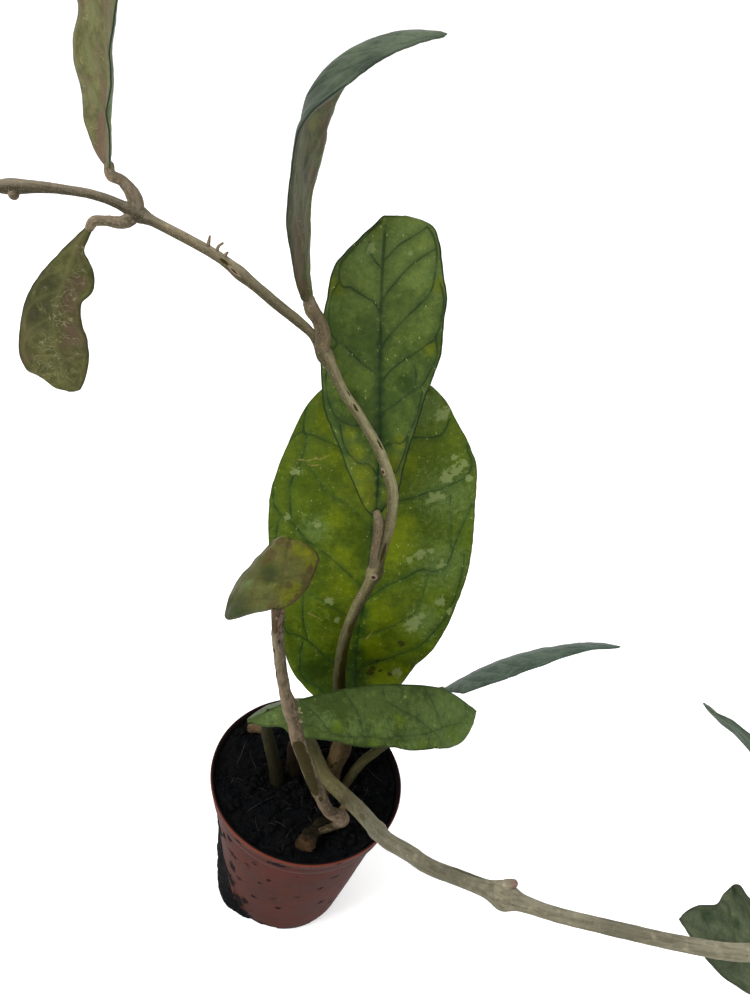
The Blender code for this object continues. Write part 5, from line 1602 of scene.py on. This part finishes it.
def make_cut_stub(vines):
    """The thick old stub with a ragged end that the short stem grows from."""
    wood = bark_finish("stub wood", CUT_STUB_TONES, vines, 0.8, shady=0.2)
    return make_stem(
        "cut_stub", CUT_STUB, wood, step=0.2, sides=44, ridges=0.7, lumps=0.9, blunt=(1.0, 0.35),
        seed=6)


def make_short_stem(vines):
    """The short stem with peeling bark, up into its leaf, and its thorns."""
    bark = bark_finish("peeling bark", SHORT_STEM_TONES, vines, peel=0.5, shady=0.6)
    stems = [make_stem(
        "short_stem_bark", reach_blade(SHORT_STEM, BLADES["leaf_8"]), bark, step=0.3,
        swellings=SHORT_STEM_NODES, ridges=0.10, lumps=0.12, warts=90, wart=(0.25, 0.12),
        darks=SHORT_STEM_DARKS, seed=7)]
    thorn = bark_finish("thorn", THORN_TONES, vines)
    for i, route in enumerate(THORNS):
        stems.append(make_stem("thorn", route, thorn, step=0.15, sides=12, seed=46 + i))
    return join(stems, "short_stem_bark")


def make_old_stub(vines):
    """The dead stub in the middle of the soil."""
    wood = tuple(vines.wood)
    # A tenth to a sixth of the wood colour: painted shade, as the stub stands under leaf 6.
    tones = [(0.0, shade(wood, 0.10)), (1.0, shade(wood, 0.16))]
    return make_stem(
        "old_stub_bark", OLD_STUB, bark_finish("old wood", tones, vines, 0.8), step=0.25,
        ridges=0.25, lumps=0.3, blunt=(1.0, 0.3), seed=9)


def make_bark_chips(vines, soil):
    """Scraps of bark that lie on the soil."""
    wood = tuple(vines.wood)
    tones = [(0.0, shade(wood, 0.8)), (0.5, shade(wood, 1.4)), (1.0, wood)]
    bark = bark_finish("bark chip", tones, vines, 0.6)
    chips = []
    for i, (x, y, heading, length, radius) in enumerate(BARK_CHIPS):
        way = np.array([math.cos(math.radians(heading)), math.sin(math.radians(heading)), 0.0])
        ground = float(soil_height(soil, np.array([x]), np.array([y]))[0])
        centre = np.array([x, y, ground + 0.8 * radius])
        route = [
            (*(centre + way * length * (share - 0.5)), radius * size) for share, size in CHIP_FORM
        ]
        chips.append(make_stem(
            f"bark_scrap_{i + 1}", route, bark, step=0.2, ridges=0.2, lumps=0.3, facing=UPWARD,
            blunt=(0.5, 0.5), seed=60 + i))
    return chips


# Leaves

def half_width(leaf, along, right):
    """The blade's half width at places along the midrib, on the left or right of it."""
    place = np.arccos(1.0 - 2.0 * np.clip(along, 0.0, 1.0)) / math.pi
    sides = []
    for widths in leaf.widths:
        marks = np.linspace(0.0, WIDTH_SPAN, len(widths))
        curve = smooth_curve(np.column_stack((marks, widths)))[0]
        sides.append(np.interp(place * WIDTH_SPAN, curve[:, 0], curve[:, 1]))
    return np.maximum(np.where(right, sides[1], sides[0]), 0.1)


def blade_surface(leaf, along, across):
    """Points of the blade's middle surface, its upper side's way, and the half widths."""
    curve, places = smooth_curve(leaf.midrib)
    at = along * places[-1]
    centre = read_along(curve, places, at)
    ahead = read_along(curve, places, np.minimum(at + BLADE_AHEAD, places[-1]))
    behind = read_along(curve, places, np.maximum(at - BLADE_AHEAD, 0.0))
    tangent = unit(ahead - behind)
    ways = np.array([way for _, way in leaf.facing])
    facing = read_along(ways, [station for station, _ in leaf.facing], along)
    upward = unit(facing - tangent * np.sum(facing * tangent, axis=1)[:, None])
    sideways = np.cross(tangent, upward)
    right = across >= 0
    width = half_width(leaf, along, right)
    rise = read_along(np.array(leaf.rise)[:, 1:], [row[0] for row in leaf.rise], along)
    angle = np.radians(np.where(right, rise[:, 1], rise[:, 0]))
    spread = width * across
    edge = across ** 2 * width / np.max(leaf.widths)
    wave = np.sin(2 * math.pi * leaf.ripples * along + 2.1 * right)
    curl = np.array(leaf.curl)[right.astype(int)]
    lift = np.abs(spread) * np.sin(angle) + edge * (leaf.ripple * wave - curl)
    points = centre + sideways * (spread * np.cos(angle))[:, None] + upward * lift[:, None]
    hang = leaf.sweep * spread ** 2 / np.max(leaf.widths) * (1.0 - along) ** 2 * ~right
    return points - tangent * hang[:, None], upward, width


def vein_lines(leaf):
    """The midrib and the side veins as (along, across) points, each with its width."""
    lines = [([(0.0, 0.0), (0.5, 0.0), (0.97, 0.0)], 1.5)]
    lines += [(vein, 1.0) for vein in leaf.veins] + [(vein, 0.5) for vein in leaf.faint]
    for i in range(leaf.pairs):
        start = 0.08 + 0.78 * (i + 0.2) / leaf.pairs
        for side in (-1.0, 1.0):
            foot = start + 0.03 * side
            vein = [(min(foot + along, 0.985), side * across) for along, across in VEIN_PAIR]
            lines.append((vein, 0.9))
    return lines


def flatten(leaf, length, places):
    """(along, across) places in millimetres of the blade laid flat, across first."""
    places = np.array(places)
    width = half_width(leaf, places[:, 0], places[:, 1] >= 0)
    return np.column_stack((places[:, 1] * width, places[:, 0] * length))


def nearness(flat, line):
    """How far each flat place is from a line."""
    best = np.full(len(flat), 1e9)
    for start, end in zip(line, line[1:]):
        step = end - start
        share = np.clip((flat - start) @ step / max(step @ step, 1e-9), 0.0, 1.0)
        gap = np.linalg.norm(flat - start - share[:, None] * step, axis=1)
        best = np.minimum(best, gap)
    return best


def make_leaf(leaf, leaves, index, sides):
    """A blade with sunken veins, quilted between them, thin at the margins."""
    length = smooth_curve(leaf.midrib)[1][-1]
    columns = round(np.max(leaf.widths) / leaf.spacing) * 2
    rows = round(1.15 * length / leaf.spacing)
    blade, grid = add_grid(leaf.name + "_blade", columns, rows)
    across, even = grid[:, 0], (grid[:, 1] + 1.0) / 2.0
    along = 0.4 * even + 0.6 * (0.5 - 0.5 * np.cos(math.pi * even))
    points, _, width = blade_surface(leaf, along, across)
    lines = points.reshape(-1, columns + 1, 3)
    hold = 0.5 * np.abs(across).reshape(-1, columns + 1, 1)[1:-1] ** 6
    for _ in range(leaf.evening):
        lines[1:-1] += hold * ((lines[:-2] + lines[2:]) / 2 - lines[1:-1])

    flat = np.column_stack((across * width, along * length))
    shifted = np.column_stack((flat + PATTERN_STEP * index, np.zeros(len(flat))))
    veins = np.full(len(flat), 99.0)
    for line, size in vein_lines(leaf):
        drawn = flatten(leaf, length, smooth_curve(line, 6 * len(line))[0])
        veins = np.minimum(veins, nearness(flat, drawn) / size)
    veins /= leaves.vein_width / MM / 2
    groove, halo = np.exp(-veins ** 2), np.exp(-(veins / 4.5) ** 2)
    margin = width * (1.0 - np.abs(across))
    margin = np.minimum(margin, (1.0 - along) * length + 0.6 * np.abs(across) * width)

    nibble = bumps(shifted * (0.0, 1.0, 0.0) + (across > 0)[:, None] * 31.0, 2.2)
    outward = (across ** 8 * NIBBLE_DEPTH * nibble)[:, None]
    spread = unit(points - blade_surface(leaf, along, across * 0.9)[0] + 1e-9)
    points = points + outward * spread
    relief = QUILT_HEIGHT * bumps(shifted, 7.0, 3.0) + PEBBLE_HEIGHT * bumps(shifted, 2.4, 6.0)
    relief = relief * (1.0 - 0.5 * halo) - VALLEY_DEPTH * halo - GROOVE_DEPTH * groove
    relief += 0.5 * leaf.ripple * across ** 4 * bumps(shifted, 5.0, 12.0)
    put_points(blade.data, points)
    points = points + normals_of(blade.data) * relief[:, None]
    put_points(blade.data, points)

    scratch = np.full(len(flat), 9.0)
    for line in leaf.scratches:
        scratch = np.minimum(scratch, nearness(flat, flatten(leaf, length, line)))
    put_values(
        blade.data, flow=shifted, vein=veins, margin=margin, along=along, scratch=scratch)
    for mark in MARKS:
        mask = np.zeros(len(flat))
        for *spot, radius in leaf.marks.get(mark, []):
            gap = np.linalg.norm(flat - flatten(leaf, length, [spot]), axis=1)
            mask = np.maximum(mask, np.clip(1.0 - gap / radius, 0.0, 1.0))
        put_values(blade.data, **{mark: mask})

    weld(blade, 0.02)
    group = blade.vertex_groups.new(name="thick")
    margins = np.empty(len(blade.data.vertices))
    blade.data.attributes["margin"].data.foreach_get("value", margins)
    for i, gap in enumerate(margins):
        thick = THIN_MARGIN + (1.0 - THIN_MARGIN) * gap / MARGIN_WIDTH
        group.add([i], min(1.0, thick), "REPLACE")
    for side in sides:
        blade.data.materials.append(side)
    apply_modifier(
        blade, "SOLIDIFY", thickness=leaves.thickness, offset=0.0, vertex_group="thick",
        material_offset=1)
    bpy.ops.object.shade_smooth()
    return blade


def upper_finish(leaf, leaves):
    """The upper side: cloudy greens, yellow-green patches, dark veins, deposits and spots, with
    painted sheen and painted shade.
    """
    look = leaf.look
    paint = Finish(leaf.name + " upper", Specular_IOR_Level=LEAF_SHEEN)
    flow = paint.attribute("flow", "Vector")
    gap = paint.attribute("vein")
    halo = paint.fade(gap, *VEIN_HALO)
    faded = paint.fade(paint.noise(flow, 4.5, 3.0), 0.36, 0.60) * 0.5 + 0.5
    vein = paint.fade(gap, *VEIN_CORE) * faded
    broad = paint.noise(flow, 12.0, 4.0, 0.6)
    medium = paint.noise(flow, 3.6, 4.0, 0.6)
    small = paint.noise(flow, 1.5, 4.0, 0.65)
    fine = paint.noise(flow, 0.5, 4.0, 0.7)
    # On leaves 3 and 7 these greens are bluish: painted sheen of a grazing reflection of the sky.
    paint.colour = paint.blend(paint.fade(broad, 0.42, 0.58), look.deep, look.light)
    tipward = paint.fade(paint.attribute("along") + (broad - 0.5) * 0.6, 0.55, 0.95)
    paint.lay(tipward * 0.8, look.tip)
    glow = paint.fade(paint.attribute("yellow") + (medium + broad - 1.0) * 0.9, 0.0, 0.8)
    paint.lay(glow * 0.8, look.patch)
    # Lighter grey-green patches, partly a dusty film and partly painted sheen, as on the right of
    # leaf 1.
    haze = paint.fade(paint.attribute("haze") + (small - 0.5) * 1.6, 0.15, 0.9)
    paint.lay(haze * 0.65, LEAF_SHEEN_AND_FILM)
    paint.stain(paint.fade(medium, 0.46, 0.68) * 0.35, (1.45, 1.4, 1.4))
    # Dark marks darken the blade; on leaf 1's base and leaf 8's left lobe they are painted shade.
    dark = paint.fade(paint.attribute("dark") + (medium - 0.5) * 0.5, 0.0, 0.8)
    paint.stain(dark * 0.75, (0.22, 0.38, 0.25))
    paint.stain(paint.fade(small, 0.50, 0.66) * 0.4, (1.4, 1.3, 1.3))
    paint.stain(paint.fade(small, 0.48, 0.36) * 0.4, (0.6, 0.68, 0.7))
    paint.stain(paint.fade(fine, 0.42, 0.62) * 0.5, (0.60, 0.66, 0.60))
    paint.lay(halo * 0.45 * look.veins, shade(look.vein, 1.8))
    paint.lay(vein * look.veins, look.vein)
    margin = paint.attribute("margin") + (fine - 0.5) * 0.5
    paint.lay(paint.fade(margin, 0.65, 0.2) * look.rim, shade(look.vein, 0.8))
    mineral = tuple(leaves.mineral)
    patchy = paint.noise(flow, 3.0, 2.0)
    near = paint.attribute("pale")
    chance = patchy + haze * 0.10 + near * 0.25
    flecks = paint.stretch(flow, (1.0, 0.62, 1.0))
    motes = paint.fade(paint.cells(flecks, 0.75), 0.24, 0.12) * paint.fade(chance, 0.54, 0.62)
    grit = paint.fade(paint.cells(flecks, 1.5), 0.12, 0.07) * paint.fade(chance, 0.44, 0.56)
    paint.lay(motes * 0.8 * look.dust, shade(mineral, 1.1))
    paint.lay(grit * look.dust, shade(mineral, 1.6))
    crust = paint.fade(near + (small - 0.5) * 2.2 + (fine - 0.5) * 0.8, 0.40, 0.50)
    paint.lay(crust * 0.75, shade(mineral, 1.1))
    spot = paint.fade(paint.attribute("brown") + (small - 0.5) * 1.5, 0.30, 0.45)
    blemish = look.spot or tuple(leaves.blemish)
    paint.lay(spot * 0.85 * paint.fade(fine, 0.30, 0.50), blemish)
    scratch = paint.fade(paint.attribute("scratch") + (medium - 0.5) * 0.7, 0.30, 0.12)
    paint.lay(scratch * 0.8, LEAF_SCRATCH)
    rough = 0.42 + medium * 0.16 + crust * 0.25 + motes * 0.2
    lift = fine * 0.35 + medium * 0.35 + crust * 0.25 + grit * 0.4 - spot * 0.2
    return paint.finish(rough, paint.relief(lift, 0.16, 0.6))


def under_finish(leaf):
    """The underside: duller, mottled, with brownish purple blotches and pale scribbles."""
    look = leaf.look
    paint = Finish(leaf.name + " underside", Specular_IOR_Level=LEAF_SHEEN)
    flow = paint.attribute("flow", "Vector")
    gap = paint.attribute("vein")
    vein, halo = paint.fade(gap, *VEIN_CORE), paint.fade(gap, *VEIN_HALO)
    broad = paint.noise(flow, 9.0, 4.0, 0.6)
    medium = paint.noise(flow, 2.4, 5.0, 0.65)
    fine = paint.noise(flow, 0.5, 4.0, 0.7)
    paint.colour = paint.blend(
        paint.fade(medium, 0.38, 0.66), shade(look.under, 0.66), shade(look.under, 1.25))
    blotch = paint.fade(broad + (medium - 0.5) * 0.5 + paint.attribute("blotch") * 0.35, 0.50, 0.66)
    paint.lay(blotch * 0.75, look.under_blotch)
    glow = paint.fade(paint.attribute("glow") + (medium - 0.5) * 0.8, 0.1, 0.7)
    paint.lay(glow * 0.6, look.patch)
    dark = paint.fade(paint.attribute("dark") + (medium - 0.5) * 0.6, 0.05, 0.6)
    paint.stain(dark * 0.75, (0.42, 0.46, 0.50))
    paint.stain(paint.fade(fine, 0.40, 0.68) * 0.45, (0.6, 0.58, 0.6))
    paint.lay(halo * 0.35, shade(look.under, 0.55))
    paint.lay(vein * 0.25, shade(look.under, 1.2))
    rim = paint.fade(paint.attribute("margin") + (medium - 0.5) * 0.8, 0.8, 0.2)
    paint.lay(rim * 0.8 * look.rim, shade(look.under, 0.35))
    wavy = paint.noise(flow, 1.7, 0.6)
    line = paint.fade(wavy, 0.475, 0.495) * paint.fade(wavy, 0.525, 0.505)
    chance = paint.noise(flow, 4.0, 2.0) + paint.attribute("pale") * 0.35
    scribble = line * paint.fade(chance, 0.56, 0.64)
    dots = paint.fade(paint.cells(flow, 1.0), 0.16, 0.07) * paint.fade(chance, 0.47, 0.60)
    paint.lay(scribble * 0.75, SCRIBBLE)
    paint.lay(dots * 0.45, SCRIBBLE_DOT)
    rough = 0.5 + medium * 0.15
    return paint.finish(rough, paint.relief(fine * 0.4 + medium * 0.5, 0.16, 0.6))


# Operators

class HOYA_OT_pot(bpy.types.Operator):
    """Make the nursery pot and the dried dirt on its side"""

    bl_idname = "hoya.pot"
    bl_label = "Pot"

    def execute(self, context):
        pot, soil = context.scene.hoya_pot, context.scene.hoya_soil
        hand_over(make_pot(pot), "pot", "pot_plastic", plastic_finish(pot))
        hand_over(make_dirt_crust(pot), "pot", "peat", peat_finish(soil, "dried dirt", 1.6))
        return {"FINISHED"}


class HOYA_OT_soil(bpy.types.Operator):
    """Fill the pot with peat, crumbs and fine roots"""

    bl_idname = "hoya.soil"
    bl_label = "Soil"

    def execute(self, context):
        pot, soil = context.scene.hoya_pot, context.scene.hoya_soil
        peat = peat_finish(soil, "peat")
        hand_over(make_soil(pot, soil), "potting_soil", "peat", peat)
        hand_over(make_crumbs(pot, soil), "potting_soil", "peat", peat)
        hand_over(make_fibres(pot, soil), "potting_soil", "peat", fibre_finish(soil))
        return {"FINISHED"}


class HOYA_OT_vines(bpy.types.Operator):
    """Make the vines, the leaf stalks, the old stubs and the scraps of bark"""

    bl_idname = "hoya.vines"
    bl_label = "Vines"

    def execute(self, context):
        vines, soil = context.scene.hoya_vines, context.scene.hoya_soil
        hand_over(make_main_vine(vines), "main_vine", "vine_bark")
        hand_over(make_trailing_vine(vines), "trailing_vine", "vine_bark")
        hand_over(make_cut_stub(vines), "short_stem", "old_wood")
        hand_over(make_short_stem(vines), "short_stem", "old_wood")
        young = tuple(vines.young)
        green = [(0.0, shade(young, 0.5)), (0.4, young), (1.0, LEAF_7_STALK_TIP)]
        for name, route, tones in (
            ("leaf_6", LEAF_6_STALK, LEAF_6_STALK_TONES), ("leaf_7", LEAF_7_STALK, green),
        ):
            bark = bark_finish(name + " stalk", tones, vines)
            stalk = make_stem(
                name + "_stalk_bark", reach_blade(route, BLADES[name]), bark, lumps=0.06,
                warts=60, wart=(0.2, 0.06), seed=56)
            hand_over(stalk, name + "_stalk", "vine_bark")
        hand_over(make_old_stub(vines), "old_stub", "old_wood")
        for i, chip in enumerate(make_bark_chips(vines, soil)):
            hand_over(chip, f"bark_chip_{i + 1}", "old_wood")
        return {"FINISHED"}


class HOYA_OT_leaves(bpy.types.Operator):
    """Make the ten leaves with their veins and marks"""

    bl_idname = "hoya.leaves"
    bl_label = "Leaves"

    def execute(self, context):
        leaves = context.scene.hoya_leaves
        for index, leaf in enumerate(LEAVES):
            sides = [upper_finish(leaf, leaves), under_finish(leaf)]
            hand_over(make_leaf(leaf, leaves, index, sides), leaf.name, "leaf_skin")
        return {"FINISHED"}


class HOYA_OT_stage(bpy.types.Operator):
    """Make the floor, the backdrop, the lights and the camera"""

    bl_idname = "hoya.stage"
    bl_label = "Stage"

    def execute(self, context):
        stage = context.scene.hoya_stage
        reach = stage.reach / MM
        bend = [
            (reach - BACKDROP_BEND * (1.0 - math.sin(turn)), BACKDROP_BEND * (1.0 - math.cos(turn)))
            for turn in np.linspace(0.0, math.pi / 2, 16)
        ]
        flat = [(1.0, 0.0), (400.0, 0.0), (1200.0, 0.0)]
        floor = lathe("stage_floor", flat + bend + [(reach, BACKDROP_HEIGHT)], FLOOR_SIDES)
        bpy.ops.object.shade_smooth()
        paint = Finish(
            "stage floor", Specular_IOR_Level=0.1, Emission_Color=(1.0, 1.0, 1.0, 1.0),
            Emission_Strength=0.35)
        tone = paint.noise(paint.object_place(), 60.0, 2.0)
        pale = tuple(stage.floor)
        paint.colour = paint.blend(tone, shade(pale, 0.99), pale)
        floor.data.materials.append(paint.finish(0.9, paint.relief(tone, 0.01, 0.1)))

        for name, place, size, power in LIGHTS:
            aim = (Vector(place) - Vector(LIGHTS_AIM)).to_track_quat("Z", "Y").to_euler()
            deselect()
            bpy.ops.object.light_add(type="AREA", location=place, rotation=aim)
            light = bpy.context.object
            light.name = name + "_light"
            light.data.size = size
            light.data.energy = power
        world = bpy.data.worlds.new("studio")
        world.use_nodes = True
        sky = world.node_tree.nodes["Background"]
        sky.inputs["Color"].default_value = (1.0, 1.0, 1.0, 1.0)
        sky.inputs["Strength"].default_value = stage.sky
        context.scene.world = world
        context.scene.view_settings.view_transform = "Standard"

        forward = Vector((0.0, math.cos(stage.pitch), -math.sin(stage.pitch)))
        lift = Vector((0.0, math.sin(stage.pitch), math.cos(stage.pitch)))
        level = Vector((1.0, 0.0, 0.0))
        right = math.cos(stage.roll) * level + math.sin(stage.roll) * lift
        up = math.cos(stage.roll) * lift - math.sin(stage.roll) * level
        turn = Matrix((right, up, -forward)).transposed().to_euler()
        deselect()
        bpy.ops.object.camera_add(location=tuple(stage.camera), rotation=turn)
        camera = bpy.context.object
        camera.name = "photo_camera"
        camera.data.lens = stage.lens
        camera.data.sensor_width = 36.0
        camera.data.clip_start = 0.005
        camera.data.clip_end = 30.0
        context.scene.camera = camera
        return {"FINISHED"}


class HOYA_PT_panel(bpy.types.Panel):
    """The sidebar's list of pieces and their settings"""

    bl_idname = "HOYA_PT_panel"
    bl_label = "Potted hoya"
    bl_space_type = "VIEW_3D"
    bl_region_type = "UI"
    bl_category = "Hoya"

    def draw(self, context):
        for operator, settings in STEPS:
            box = self.layout.box()
            box.operator(operator)
            group = getattr(context.scene, settings)
            for name in type(group).__annotations__:
                box.prop(group, name)


GROUPS = {
    "hoya_pot": PotSettings, "hoya_soil": SoilSettings, "hoya_vines": VineSettings,
    "hoya_leaves": LeafSettings, "hoya_stage": StageSettings,
}
STEPS = [
    ("hoya.pot", "hoya_pot"), ("hoya.soil", "hoya_soil"), ("hoya.vines", "hoya_vines"),
    ("hoya.leaves", "hoya_leaves"), ("hoya.stage", "hoya_stage"),
]
CLASSES = [
    *GROUPS.values(), HOYA_OT_pot, HOYA_OT_soil, HOYA_OT_vines, HOYA_OT_leaves, HOYA_OT_stage,
    HOYA_PT_panel,
]


def register():
    for kind in CLASSES:
        bpy.utils.register_class(kind)
    for name, group in GROUPS.items():
        setattr(bpy.types.Scene, name, PointerProperty(type=group))


def unregister():
    for name in GROUPS:
        delattr(bpy.types.Scene, name)
    for kind in reversed(CLASSES):
        bpy.utils.unregister_class(kind)


def main():
    register()
    bpy.ops.hoya.stage()
    bpy.ops.hoya.pot()
    bpy.ops.hoya.soil()
    bpy.ops.hoya.vines()
    bpy.ops.hoya.leaves()
    deselect()


if __name__ == "__main__":
    main()
